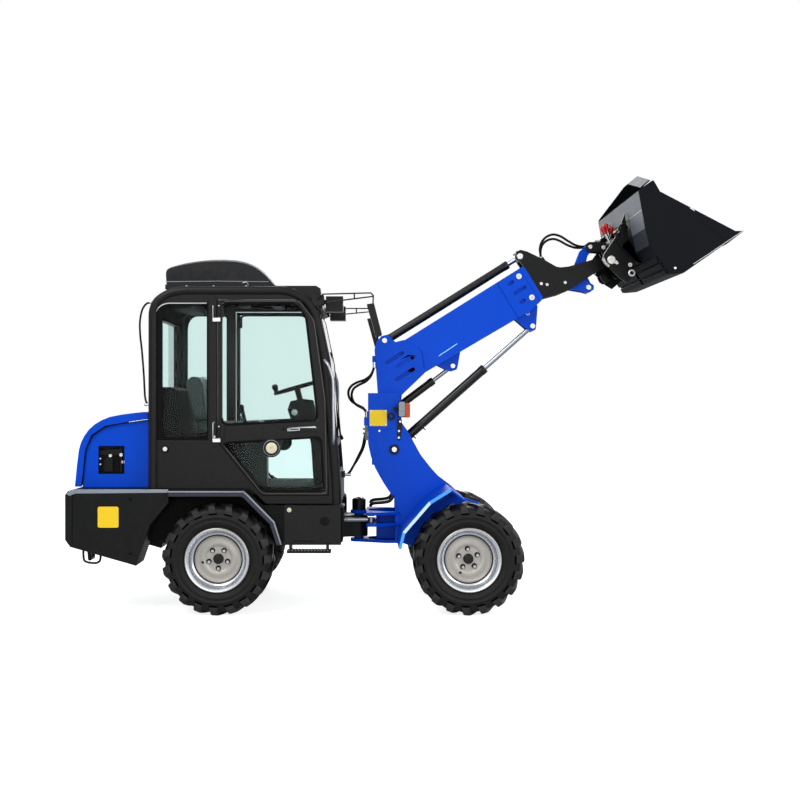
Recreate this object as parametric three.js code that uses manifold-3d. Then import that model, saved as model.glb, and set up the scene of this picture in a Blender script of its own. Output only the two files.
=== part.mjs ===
// Compact articulated wheel loader with a telescopic boom, millimetres, +Z up.
// X points forward, Y to the machine's left. The working frame of every part
// has X = 0 on the articulation pin, Y = 0 on the centre plane and Z = 0 on
// the ground.
import * as THREE from 'three';
import { mergeVertices } from 'three/addons/utils/BufferGeometryUtils.js';
import Module from 'manifold-3d';

const wasm = await Module();
wasm.setup();

// ---------------------------------------------------------------- dimensions
const GAP = 0.3;                // seat between two resting pieces
const TYRE_R = 380;             // tyre outside radius, 10.0/75-15.3
const TYRE_W = 264;
const TRACK = 1080;             // tyre centre to tyre centre
const RIM_R = 218;              // rim flange
const REAR_AXLE_X = -959;
const FRONT_AXLE_X = 756;
const AXLE_R = 58;
const HUB_Y = TRACK / 2 + 20;   // outer end of each axle stub

const CAB_W = 560;              // half width over the cab frame
const CAB_T = 60;               // depth of the cab's side frame
const GRAB_R = 9;               // grab rail on the front pillar
const MIRROR_R = 5;             // wire of the mirror frames
const WHEEL_R = 165;            // steering wheel
const WHEEL_X = -459;
const WHEEL_Z = 1563;
const CAB_REAR = -1448;
const CAB_TOP = 2258;
const DOOR_T = 36;
const HOOD_W = 455;             // half width of the hood
const POD_W = 600;              // half width of the rear body

const TOWER_Y = 150;            // outside of the boom tower plates
const TOWER_T = 22;
const FENDER_Y = 650;

const BOOM_X = 234;             // boom pivot
const BOOM_Z = 1354;
const BOOM_DEG = 32;            // boom angle at rest
const BOX_Y = 110;              // outer boom half width
const BOX_LO = 138;             // outer boom section, above the pivot line
const BOX_HI = 416;
const BOX_END = 1396;           // front end of the outer boom
const WALL = 12;
const TELE_Q = 490;             // line of the telescope cylinder

const HITCH_X = 1836;           // bucket pivot on the nose of the inner boom
const HITCH_Z = 2497;
const BUCKET_DEG = 35;          // bucket floor angle at rest
const BUCKET_W = 670;           // half width
const PLATE = 12;               // bucket sheet

const HOSE_D = 18;              // hydraulic hoses
const HOSE_Y = -88;
const HOSE_CAB = [-100, 930];   // x and z of each hose end
const HOSE_PORT = [56, 1285, 1345];
const HOSE_BACK = [112, 1746];
const NOSE_Y = 102;             // the tool's hose, on the far side of the nose
const HOSE_NOSE = [1362, 2500];
const HOSE_HITCH = [1800, 2654];
const CABLE_D = 14;
const CABLE_Y = -470;

const STEER_Z = 609;            // steering cylinders
const STEER_BASE = [-480, 230];
const STEER_EYE = [90, 205];

const LIFT_BASE = [258, 1112];
const LIFT_EYE = [1273, 2013];
const LEVEL_BASE = [190, 1345];
const LEVEL_EYE = [689, 1721];
const ROCKER_LOW = [1685, 2297];
const ROCKER_TOP = [1700, 2596];
const LINK_EYE = [1797, 2591];

const RAD = Math.PI / 180;

// ----------------------------------------------------------------- materials
const paint = (color, roughness, metalness = 0) =>
  new THREE.MeshStandardMaterial({ color, roughness, metalness });
const BLUE = paint(0x0a48c8, 0.35);
const BLACK = paint(0x17181a, 0.5);
const SATIN = paint(0x232427, 0.6);
const RUBBER = paint(0x1b1b1c, 0.85);
const GREY = paint(0xa9adb0, 0.45, 0.3);
const CHROME = paint(0xc9ccd0, 0.15, 1);
const GLASS = paint(0xbfe0d8, 0.05);
const LAMP = paint(0xd9dadb, 0.25);
const VINYL = paint(0x2a2b2d, 0.7);
const CAST = paint(0x3a3c3f, 0.7, 0.4);

// ------------------------------------------------------------ solid building
// A closed three.js geometry becomes a manifold solid, and back again.
function solid(geometry) {
  const g = geometry.index ? geometry.clone() : geometry;
  g.deleteAttribute('normal');
  g.deleteAttribute('uv');
  const m = mergeVertices(g, 1e-4);
  const out = new wasm.Manifold(new wasm.Mesh({
    numProp: 3,
    vertProperties: new Float32Array(m.attributes.position.array),
    triVerts: new Uint32Array(m.index.array),
  }));
  return out;
}

const join = (...s) => s.reduce((a, b) => a.add(b));
const cut = (a, ...s) => s.reduce((r, b) => r.subtract(b), a);

// Box between two corners.
function box(x0, x1, y0, y1, z0, z1) {
  const g = new THREE.BoxGeometry(x1 - x0, y1 - y0, z1 - z0);
  g.translate((x0 + x1) / 2, (y0 + y1) / 2, (z0 + z1) / 2);
  return solid(g);
}

function shapeOf(points) {
  const pts = points.map(([a, b]) => new THREE.Vector2(a, b));
  return new THREE.Shape(THREE.ShapeUtils.area(pts) < 0 ? pts.reverse() : pts);
}

// Side-view profile (x, z) carried across from y0 to y1.
function side(points, y0, y1) {
  const g = new THREE.ExtrudeGeometry(shapeOf(points), { depth: y1 - y0, bevelEnabled: false });
  g.rotateX(Math.PI / 2);
  g.translate(0, y1, 0);
  return solid(g);
}

// Plan-view profile (x, y) carried up from z0 to z1.
function plan(points, z0, z1) {
  const g = new THREE.ExtrudeGeometry(shapeOf(points), { depth: z1 - z0, bevelEnabled: false });
  g.translate(0, 0, z0);
  return solid(g);
}

// Round bar between two points.
function bar(a, b, r, n = 12) {
  const p = new THREE.Vector3(...a);
  const q = new THREE.Vector3(...b);
  const d = q.clone().sub(p);
  const g = new THREE.CylinderGeometry(r, r, d.length(), n);
  g.applyQuaternion(new THREE.Quaternion().setFromUnitVectors(
    new THREE.Vector3(0, 1, 0), d.clone().normalize()));
  g.translate((p.x + q.x) / 2, (p.y + q.y) / 2, (p.z + q.z) / 2);
  return solid(g);
}
const pinY = (x, z, r, y0, y1, n = 14) => bar([x, y0, z], [x, y1, z], r, n);
const pinZ = (x, y, r, z0, z1, n = 14) => bar([x, y, z0], [x, y, z1], r, n);

// Bent round bar through a list of points, mitred at each bend by a ball.
function rail(points, r, n = 8) {
  let out = null;
  for (let i = 0; i + 1 < points.length; i++) {
    const piece = bar(points[i], points[i + 1], r, n);
    out = out ? out.add(piece) : piece;
    if (i > 0) {
      const ball = new THREE.IcosahedronGeometry(r * 1.05, 0);
      ball.translate(...points[i]);
      out = out.add(solid(ball));
    }
  }
  return out;
}

// Closed skin through sections [y, [[x, z], ...]] with as many points each.
function loft(sections) {
  const n = sections[0][1].length;
  const points = sections.flatMap(([y, pts]) => pts.flatMap(([x, z]) => [x, y, z]));
  const index = [];
  for (let k = 0; k + 1 < sections.length; k++) {
    for (let i = 0; i < n; i++) {
      const [a, b] = [k * n + i, k * n + (i + 1) % n];
      index.push(a, b, b + n, a, b + n, a + n);
    }
  }
  const flat = sections[0][1].map(([x, z]) => new THREE.Vector2(x, z));
  const turn = Math.sign(THREE.ShapeUtils.area(flat));
  const last = (sections.length - 1) * n;
  for (const face of THREE.ShapeUtils.triangulateShape(flat, [])) {
    const same = Math.sign(THREE.ShapeUtils.area(face.map((i) => flat[i]))) === turn;
    const [a, b, c] = same ? face : [...face].reverse();
    index.push(c, b, a, last + a, last + b, last + c);
  }
  const g = new THREE.BufferGeometry();
  g.setAttribute('position', new THREE.BufferAttribute(new Float32Array(points), 3));
  g.setIndex(index);
  const m = solid(g);
  if (m.volume() > 0) return m;
  for (let i = 0; i < index.length; i += 3) [index[i + 1], index[i + 2]] = [index[i + 2], index[i + 1]];
  g.setIndex(index);
  return solid(g);
}

// Hose: a ring of n sides swept along a smooth curve through its points.
function hoseTube(points, d, steps, n = 8) {
  const curve = new THREE.CatmullRomCurve3(points.map((p) => new THREE.Vector3(...p)), false, 'centripetal');
  const ring = Array.from({ length: n }, (_, i) => new THREE.Vector2(
    d / 2 * Math.cos(2 * Math.PI * i / n), d / 2 * Math.sin(2 * Math.PI * i / n)));
  return solid(new THREE.ExtrudeGeometry(new THREE.Shape(ring),
    { steps, extrudePath: curve, bevelEnabled: false }));
}

// Turned piece about the Y axis through (x, z): profile of [radius, y] pairs.
function turned(profile, x, z, n) {
  const pts = profile.map(([r, y]) => new THREE.Vector2(r, y));
  pts.push(pts[0].clone());
  const g = new THREE.LatheGeometry(pts, n);
  g.translate(x, 0, z);
  const m = solid(g);
  return m.volume() < 0 ? solid(g) : m;
}

// The same solid on the other side of the centre plane.
function mirrorY(s) {
  const m = s.getMesh();
  const p = new Float32Array(m.vertProperties);
  for (let i = 1; i < p.length; i += m.numProp) p[i] = -p[i];
  const t = new Uint32Array(m.triVerts);
  for (let i = 0; i < t.length; i += 3) [t[i + 1], t[i + 2]] = [t[i + 2], t[i + 1]];
  return new wasm.Manifold(new wasm.Mesh({ numProp: m.numProp, vertProperties: p, triVerts: t }));
}
const circle = (x, z, r, a0, a1, n) => Array.from({ length: n + 1 }, (_, i) => {
  const a = (a0 + (a1 - a0) * i / n) * RAD;
  return [x + r * Math.cos(a), z + r * Math.sin(a)];
});
const mid = (a, b, t) => [a[0] + (b[0] - a[0]) * t, a[1] + (b[1] - a[1]) * t];

// Boom coordinates (p along the boom, q square to it) to the working frame.
const BC = Math.cos(BOOM_DEG * RAD);
const BS = Math.sin(BOOM_DEG * RAD);
const boomPt = ([p, q]) => [BOOM_X + p * BC - q * BS, BOOM_Z + p * BS + q * BC];
const boomPts = (list) => list.map(boomPt);
// Bucket coordinates (u along its floor, v square to it, from the pivot).
const KC = Math.cos(BUCKET_DEG * RAD);
const KS = Math.sin(BUCKET_DEG * RAD);
const bucketPts = (list) =>
  list.map(([u, v]) => [HITCH_X + u * KC - v * KS, HITCH_Z + u * KS + v * KC]);

// --------------------------------------------------------------- scene graph
const machine = new THREE.Group();
machine.name = 'machine';

// A pivot group stands on its joint; every solid is given in the working
// frame and is moved into the group it belongs to.
const origin = new Map([[machine, new THREE.Vector3()]]);
function pivot(name, parent, x, y, z) {
  const g = new THREE.Group();
  g.name = name;
  g.position.set(x, y, z).sub(origin.get(parent));
  parent.add(g);
  origin.set(g, new THREE.Vector3(x, y, z));
  return g;
}

function place(name, parent, manifold, material) {
  const m = manifold.getMesh();
  const g = new THREE.BufferGeometry();
  const step = m.numProp;
  const p = new Float32Array((m.vertProperties.length / step) * 3);
  const o = origin.get(parent);
  for (let i = 0; i < p.length / 3; i++) {
    p[3 * i] = m.vertProperties[step * i] - o.x;
    p[3 * i + 1] = m.vertProperties[step * i + 1] - o.y;
    p[3 * i + 2] = m.vertProperties[step * i + 2] - o.z;
  }
  g.setAttribute('position', new THREE.BufferAttribute(p, 3));
  g.setIndex(new THREE.BufferAttribute(new Uint32Array(m.triVerts), 1));
  g.computeVertexNormals();
  const mesh = new THREE.Mesh(g, material);
  mesh.name = name;
  parent.add(mesh);
  return mesh;
}

// Both sides of a piece that comes in pairs; the given one is the right (-Y).
function pair(stem, parents, manifold, material) {
  place(`${stem}_right`, parents[0], manifold, material);
  place(`${stem}_left`, parents[1], mirrorY(manifold), material);
}
const both = (m) => join(m, mirrorY(m));

// -------------------------------------------------------------------- wheels
// Tyre: an open-bellied ring with rounded shoulders.
function tyre(x, y) {
  const h = TYRE_W / 2;
  const R = TYRE_R;
  const bead = RIM_R - 20;
  const profile = [
    [bead, -h + 34], [bead + 26, -h + 18], [R - 100, -h], [R - 30, -h + 12],
    [R, -h + 56], [R, h - 56], [R - 30, h - 12], [R - 100, h], [bead + 26, h - 18],
    [bead, h - 34], [bead, h - 62], [R - 60, h - 50], [R - 60, -h + 50], [bead, -h + 62],
  ].map(([r, a]) => [r, a + y]);
  return turned(profile, x, TYRE_R, 24);
}

// Rim: a barrel with two flanges, a dished disc and the hub sleeve behind it.
// out is +1 when the wheel's outer face looks to +Y.
function rim(x, y, out) {
  const h = TYRE_W / 2;
  const bead = RIM_R - 20 - GAP;
  const disc = HUB_Y - TRACK / 2 + 6;
  const p = [
    [bead, -h + 12], [bead, h - 12], [bead + 20, h - 12], [bead + 20, h - 4],
    [bead - 8, h - 4], [bead - 8, disc + 10], [50, disc + 10], [AXLE_R + 1, disc],
    [AXLE_R + 1, disc - 90], [AXLE_R + 26, disc - 90], [AXLE_R + 26, disc],
    [bead - 8, disc], [bead - 8, -h + 4], [bead + 20, -h + 4], [bead + 20, -h + 12],
  ].map(([r, a]) => [r, y + out * a]);
  // the flanges stand clear of the tyre's beads, which end inside them
  return turned(out > 0 ? p : p.reverse(), x, TYRE_R, 24);
}

// -------------------------------------------------------------------- axles
function axle(x, padY, padTop) {
  const ball = new THREE.IcosahedronGeometry(128, 2);
  ball.translate(x, 0, TYRE_R);
  return join(
    bar([x, -HUB_Y, TYRE_R], [x, HUB_Y, TYRE_R], AXLE_R, 24),
    solid(ball),
    both(bar([x, -HUB_Y + 96, TYRE_R], [x, -HUB_Y + 140, TYRE_R], AXLE_R + 30, 16)),
    both(box(x - 55, x + 55, padY[0], padY[1], TYRE_R, padTop)),
  );
}

// ---------------------------------------------------------------- rear frame
const RAIL_Z0 = 445;
const RAIL_Z1 = 560;
function rearFrame() {
  const rails = both(box(-1899.7, -240, 190, 250, RAIL_Z0, RAIL_Z1));
  const cross = join(
    box(-1899.7, -1830, -250, 250, RAIL_Z0, RAIL_Z1),
    box(-640, -590, -250, 250, 500, RAIL_Z1),
    box(-300, -240, -250, 250, RAIL_Z0, RAIL_Z1),
    box(-300, -240, -160, 160, RAIL_Z0, 640),
  );
  const nose = plan([[-245, -150], [-60, -70], ...circle(0, 0, 66, -90, 90, 10), [-60, 70], [-245, 150]], 470, 625);
  const post = both(join(
    box(-1400, -1340, 195, 245, 550, 815.7), box(-640, -590, 195, 245, 550, 815.7)));
  const [sx, sy] = STEER_BASE;
  const clevis = both(join(
    box(sx - 60, sx + 34, sy - 30, sy + 30, 550, 578),
    box(sx - 60, sx + 34, sy - 30, sy + 30, 640, 658),
    box(sx - 60, sx - 42, sy - 30, sy + 30, 550, 658),
    pinZ(sx, sy, 14, 570, 650),
  ));
  return cut(join(rails, cross, nose, post, clevis), pinZ(0, 0, 36, 400, 700, 28));
}

// Counterweight: the rear wall and the two side pods behind the rear wheels.
const POD = [[-2008, 511], [-2008, 819], [-1988, 846], [-1940, 860], [-1452, 860],
  [-1452, 849.4], [-1300, 849.4], [-1300, 765], [-1426, 613], [-1522, 333], [-1974, 463]];
function counterweight() {
  const outer = side(POD, -POD_W, POD_W);
  const loop = rail([[-1985, -55, 445], [-1975, -55, 305], [-1975, 55, 305], [-1985, 55, 445]], 14);
  const block = cut(outer, box(-1900, -1200, -330, 330, 300, 900),
    box(-1452, -1290, -501, 501, 815.7, 900));
  return join(block, box(-2004, -1902, -80, 80, 430, 480), loop);
}

// ------------------------------------------------------------ hood and panel
const HOOD_HINGE = [-1480, 1362];
const HOOD_OUT = [[-1979, 865], [-1965, 1010], [-1951, 1121], [-1937, 1172], [-1914, 1218], [-1882, 1262],
  [-1840, 1300], [-1790, 1330], [-1735, 1352], [-1660, 1367], [-1580, 1378], [-1504, 1386], [-1470, 1386]];
const HOOD_IN = [[-1470, 1338], [-1504, 1337], [-1768, 1290], [-1864, 1226], [-1908, 1123],
  [-1935, 865]];
const HOOD_SKIN = [[-1470, 1374], [-1505, 1374], [-1737, 1339], [-1833, 1284], [-1906, 1207],
  [-1939, 1120], [-1967, 865]];
function hood() {
  const band = side([...HOOD_OUT, ...HOOD_IN], -HOOD_W, HOOD_W);
  const hollow = side([...HOOD_SKIN, [-1955, 860], [-1860, 860], [-1850, 1000], [-1700, 1250],
    [-1465, 1300], [-1465, 1374]], -HOOD_W + 14, HOOD_W - 14);
  return cut(band, hollow, both(pinY(...HOOD_HINGE, 9, -HOOD_W - 5, -HOOD_W + 20)));
}
function hoodSide() {
  const y0 = -HOOD_W + 19;
  const panel = side([[-1930, 860.3], [-1902, 1121], [-1859, 1219], [-1765, 1282], [-1504, 1330],
    [-1496, 1356], [-1480, 1372], [-1464, 1356], [-1460, 1334], [-1460, 860.3]], y0, y0 + 16);
  return join(
    cut(panel, side([[-1819, 953], [-1637, 953], [-1637, 1149], [-1819, 1149]], y0 - 5, y0 + 30)),
    box(-1830, -1600, y0 + 14, y0 + 22, 1085, 1125),
    pinY(...HOOD_HINGE, 8, y0 - 18, y0 + 4),
  );
}

// ----------------------------------------------------------------------- cab
const CAB = [[CAB_REAR, 850], [CAB_REAR, 2089], [-1420, 2158], [-1331, 2234], [-1227, CAB_TOP],
  [-470, CAB_TOP], [-332, 2179], [-263, 2076], [-195, 1745], [-146, 1194], [-119, 850],
  [-119, 747], [-640, 747], [-735, 850]];
const REAR_LITE = [[-1413, 1194], [-1035, 1194], [-1035, 2145], [-1330, 2145], [-1390, 2112],
  [-1413, 2050]];
const DOOR = [[-966, 1187], [-966, 2158], [-401, 2158], [-298, 2021], [-222, 1470], [-208, 816],
  [-663, 816]];
const DOORWAY = [[-971, 1185], [-971, 2163], [-398, 2163], [-293, 2023], [-217, 1471], [-203, 811],
  [-666, 811]];
const DOOR_UPPER = [[-938, 1298], [-938, 2138], [-429, 2138], [-360, 2050], [-277, 1332]];
const DOOR_LOWER = [[-938, 1174], [-663, 842], [-236, 842], [-257, 1215]];

function cabSide() {
  const y1 = -CAB_W + CAB_T;
  const frame = cut(side(CAB, -CAB_W, y1), side(DOORWAY, -CAB_W - 5, y1 + 5),
    side(REAR_LITE, -CAB_W - 5, y1 + 5));
  // hinge pins of the door
  const hinge = (z) => join(box(-1000, -972, -CAB_W - 16, -CAB_W + 4, z, z + 24),
    box(-976, -948, -CAB_W - 18, -CAB_W - 6, z, z + 24),
    pinZ(-958, -CAB_W - 12, 6, z + 10, z + 110, 12));
  return join(frame, hinge(1180), hinge(2010), grabRail());
}

function grabRail() {
  const y = -CAB_W - 32;
  return rail([[-232, -CAB_W + 4, 1745], [-205, y, 1712], [-174, y, 1607], [-167, y, 1220],
    [-172, -CAB_W + 4, 1170]], GRAB_R, 10);
}

function door() {
  const y0 = -CAB_W + 2;
  const leaf = cut(side(DOOR, y0, y0 + DOOR_T), side(DOOR_UPPER, y0 - 5, y0 + DOOR_T + 5),
    side(DOOR_LOWER, y0 - 5, y0 + DOOR_T + 5));
  const knuckle = (z) => cut(join(
    pinZ(-958, -CAB_W - 12, 13, z + 28, z + 104, 14),
    box(-960, -925, -CAB_W - 14, -CAB_W + 6, z + 28, z + 104)),
  pinZ(-958, -CAB_W - 12, 7, z, z + 120, 12));
  return join(leaf, knuckle(1180), knuckle(2010),
    box(-480, -290, y0 - 14, y0 + 2, 1256, 1278));
}
function doorGlass() {
  const y0 = -CAB_W + 2 + DOOR_T + GAP;
  return side([[-955, 1180], [-955, 2150], [-420, 2150], [-336, 2045], [-254, 1400], [-222, 830],
    [-655, 830]], y0, y0 + 6);
}
const sideGlass = () => side(REAR_LITE.map(([x, z]) => [
  x + (x < -1300 ? 0.4 : -0.4), z + (z > 1500 ? -0.4 : 0.4)]), -CAB_W + 30, -CAB_W + 36);

const INNER_Y = CAB_W - CAB_T - GAP;
function cabRear() {
  const wall = box(CAB_REAR, CAB_REAR + 40, -INNER_Y, INNER_Y, 816, 2089);
  return cut(wall, box(CAB_REAR - 5, CAB_REAR + 50, -INNER_Y + 60, INNER_Y - 60, 1300, 2040));
}
function cabRoof() {
  const out = [[CAB_REAR, 2089 + GAP], [-1420, 2158], [-1331, 2234], [-1227, CAB_TOP], [-470, CAB_TOP],
    [-332, 2179], [-263, 2076]];
  const inn = [[-308, 2066], [-366, 2148], [-482, 2200], [-1220, 2200], [-1312, 2182],
    [-1386, 2130], [CAB_REAR + 42, 2089 + GAP]];
  return join(side([...out, ...inn], -INNER_Y, INNER_Y), roofVisor(), both(workLamp()));
}
function cabFront() {
  const low = side([[-146, 1194], [-119, 850], [-119, 747], [-159, 747], [-159, 846], [-186, 1194]],
    -INNER_Y, INNER_Y);
  return cut(low, side([[-300, 960], [-100, 960], [-100, 1150], [-300, 1150]], -INNER_Y + 70, INNER_Y - 70));
}
function windshield() {
  return side([[-147, 1194.4], [-196, 1745], [-264.5, 2074.8], [-270.5, 2073.5], [-203, 1745], [-154, 1194.4]],
    -INNER_Y, INNER_Y);
}
const rearGlass = () => box(CAB_REAR + 16, CAB_REAR + 22, -INNER_Y + 60.3, INNER_Y - 60.3, 1300.3, 2039.7);
const cabFloor = () => box(CAB_REAR, -125, -INNER_Y, INNER_Y, 816, 850 - GAP);

// Gland in the cab's front wall, where the hoses to the tower leave it.
const cabGland = () => box(-135, HOSE_CAB[0] - GAP, HOSE_Y - 30, HOSE_Y + 30, HOSE_CAB[1] - 24, HOSE_CAB[1] + 24);

function roofVisor() {
  return side([[-595, CAB_TOP - 6], [-595, 2263], [-292, 2263], [-262, 2244], [-250, 2112],
    [-282, 2108], [-336, 2176], [-472, CAB_TOP - 6]], -INNER_Y, INNER_Y);
}
function airUnit() {
  return side([[-1378, CAB_TOP + GAP], [-1378, 2284], [-1364, 2413], [-1236, 2455], [-1022, 2477],
    [-844, 2469], [-737, 2434], [-600, 2307], [-600, CAB_TOP + GAP]], -300, 300);
}
// Work lamp on the front corner of the roof, on a stub from the visor.
function workLamp() {
  return join(box(-226, -106, -480, -350, 2086, 2192), box(-275, -220, -430, -400, 2140, 2170));
}
function mirror() {
  const y = -CAB_W + 30;
  return join(
    rail([[-300, y, 2148], [-240, y - 60, 2196], [86, y - 105, 2200], [104, y - 108, 2182],
      [100, y - 110, 2095]], MIRROR_R),
    rail([[-283, y, 2124], [-170, y - 62, 2146], [102, y - 107, 2176]], MIRROR_R),
    rail([[-26, y - 86, 2160], [-26, y - 86, 2198]], MIRROR_R),
    side([[-317.9, 2158.6], [-279.9, 2102], [-270, 2108.6], [-307.9, 2165.3]], y - 15, y + 15),
    side([[60, 2116], [108, 2123], [162, 1912], [122, 1892]], y - 190, y - 70));
}

// Side box under the door with its hanging step.
function sideBox() {
  return join(
    rearFender(),
    box(-526, -500, -600, -510, 482, 500),
    box(-508, -118, -POD_W, -330, 476, 746.7),
    box(-485, -185, -POD_W - 60, -POD_W + 40, 427, 445),
    box(-470, -452, -POD_W - 50, -POD_W + 40, 440, 490),
    box(-218, -200, -POD_W - 50, -POD_W + 40, 440, 490),
  );
}
function rearFender() {
  const top = [[-1299.7, 849.7], [-771, 849.7], [-740, 820], [-563, 638], [-514, 480]];
  const low = [[-526, 476], [-575, 632], [-750, 811], [-775, 836], [-1299.7, 836]];
  return side([...top, ...low], -640, -501);
}

// Operator's place.
function seat() {
  return join(
    box(-1150, -800, -190, 190, 849.9, 1230),
    side([[-1180, 1225], [-700, 1240], [-690, 1330], [-1180, 1330]], -240, 240),
    side([[-1190, 1300], [-1080, 1300], [-1112, 1580], [-1140, 1640], [-1215, 1655], [-1262, 1600]], -230, 230),
  );
}
function steeringColumn() {
  const wheel = new THREE.TorusGeometry(WHEEL_R, 13, 6, 20);
  wheel.rotateY(-16 * RAD);
  wheel.translate(WHEEL_X, 0, WHEEL_Z);
  return join(
    side([[-330, 849.9], [-205, 849.9], [-222, 1180], [-300, 1320], [-340, 1470], [-420, 1480],
      [-500, 1462], [-522, 1400], [-498, 1330], [-440, 1300], [-385, 1290], [-350, 1150]], -80, 80),
    bar([WHEEL_X + 34, 0, 1440], [WHEEL_X + 2, 0, WHEEL_Z - 8], 22, 12),
    solid(wheel),
    bar([WHEEL_X, -WHEEL_R + 5, WHEEL_Z], [WHEEL_X, WHEEL_R - 5, WHEEL_Z], 10, 8),
    bar([WHEEL_X, 0, WHEEL_Z - 10], [WHEEL_X - 3, 0, WHEEL_Z + 10], 26, 12),
  );
}
function armConsole() {
  return join(
    box(-980, -640, -430, -300, 840, 1230),
    side([[-860, 1225], [-740, 1225], [-700, 1290], [-760, 1310], [-860, 1270]], -400, -320),
    bar([-790, -360, 1270], [-822, -360, 1400], 14, 10),
  );
}

// ---------------------------------------------------------------- front body
const HUB_TOP = [640, 662];
const HUB_LOW = [432, 454];
function frontFrame() {
  const outline = [[67, 1521], [299, 1521], [299, 1492], [312, 1306], [350, 1253], [388, 1186],
    [447, 1077], [516, 988], [587, 908], [666, 848], [770, 745], [905, 700], [905, 450], [690, 440.2],
    [357, 419], [263, 455], [263, 745], [225, 800], [189, 854], [150, 920], [119, 978], [88, 1060],
    [72, 1130], [67, 1165]];
  const plates = both(side(outline, -TOWER_Y, -TOWER_Y + TOWER_T));
  const inY = TOWER_Y - 2;
  const ears = ([z0, z1]) => plan([[-0.1, -62], ...circle(0, 0, 62, 250, 110, 12), [-0.1, 62],
    [200, TOWER_Y], [420, TOWER_Y], [420, -TOWER_Y], [200, -TOWER_Y]], z0, z1);
  const wing = ([z0, z1]) => plan([[STEER_EYE[0] - 34, 100], [STEER_EYE[0] - 34, STEER_EYE[1] + 34],
    [STEER_EYE[0] + 34, STEER_EYE[1] + 34], [296, TOWER_Y + 10], [296, 100]], z0, z1);
  const body = join(
    plates,
    ears(HUB_TOP), ears(HUB_LOW),
    box(290, 340, -inY, inY, 445, 700),
    box(882, 900, -inY, inY, 445, 690),
    box(300, 890, -inY, inY, 560, 585),
    both(wing(HUB_TOP)), both(wing([560, 582])),
    both(box(262, 296, TOWER_Y - 10, TOWER_Y + 10, 560, 662)),
    box(127, 300, -60, 60, 440, 662),
    box(95, 113, -inY, inY, 1000, 1210),
    both(side([[95, 1010], [170, 1235], [214, 1325], [216, 1350], [190, 1371], [164, 1350],
      [120, 1250], [95, 1200]], -58, -40)),
    pinZ(0, 0, 35, 440, 734, 28),
    box(HOSE_PORT[0] - 18, 84, -TOWER_Y + 4, HOSE_Y + 20, HOSE_PORT[1], HOSE_PORT[2]),
  );
  const [lx, lz] = LIFT_BASE;
  // pads that stand on the axle
  const pad = both(box(FRONT_AXLE_X - 55, FRONT_AXLE_X + 55, TOWER_Y - 23, TOWER_Y, 440, 470));
  return join(body, pad, pinY(lx, lz, 20, -TOWER_Y - 8, TOWER_Y + 8),
    pinY(LEVEL_BASE[0], LEVEL_BASE[1], 14, -58, 58),
    both(pinY(BOOM_X, BOOM_Z, 26, -TOWER_Y - 10, -92)));
}
// Fender: four flat facets behind and over the tyre.
const FENDER = [[275, 457], [303, 568], [483, 776], [629, 866], [733, 790]];
const FENDER_IN = [[726, 780], [629, 851], [490, 766], [314.5, 563], [287, 454]];
function frontFender() {
  return side([...FENDER, ...FENDER_IN], -FENDER_Y, -TOWER_Y - GAP);
}
function frontLamp() {
  return join(
    box(282, 368, -262, -196, 1343, 1463),
    box(262, 300, -200, -TOWER_Y - GAP, 1395, 1420),
  );
}

// ---------------------------------------------------------------- cylinders
// A hydraulic cylinder in the plane y = yc: barrel with a base eye, and a rod
// with an eye that carries its own short pin. len is the barrel's length as a
// share of the pin distance.
function barrelXZ(a, b, r, share, yc, half, hole) {
  const [e0, e1] = [mid(a, b, 0.04), mid(a, b, share)];
  const core = mid(a, b, 0.13);
  const body = join(
    pinY(a[0], a[1], hole + 14, yc - half, yc + half),
    bar([a[0], yc, a[1]], [mid(a, b, 0.1)[0], yc, mid(a, b, 0.1)[1]], Math.min(half, hole + 8), 14),
    bar([e0[0], yc, e0[1]], [e1[0], yc, e1[1]], r, 20));
  const bore = bar([core[0], yc, core[1]], [mid(a, b, share + 0.02)[0], yc, mid(a, b, share + 0.02)[1]],
    r * 0.55 + 0.4, 16);
  return cut(body, bore, pinY(a[0], a[1], hole + 0.7, yc - half - 5, yc + half + 5));
}
function rodXZ(a, b, r, from, yc, half, eye) {
  const s = mid(a, b, from);
  return join(
    bar([s[0], yc, s[1]], [b[0], yc, b[1]], r * 0.55 - 0.3, 16),
    pinY(b[0], b[1], eye + 14, yc - half, yc + half),
    pinY(b[0], b[1], eye, yc - half - 6, yc + half + 6));
}

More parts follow.
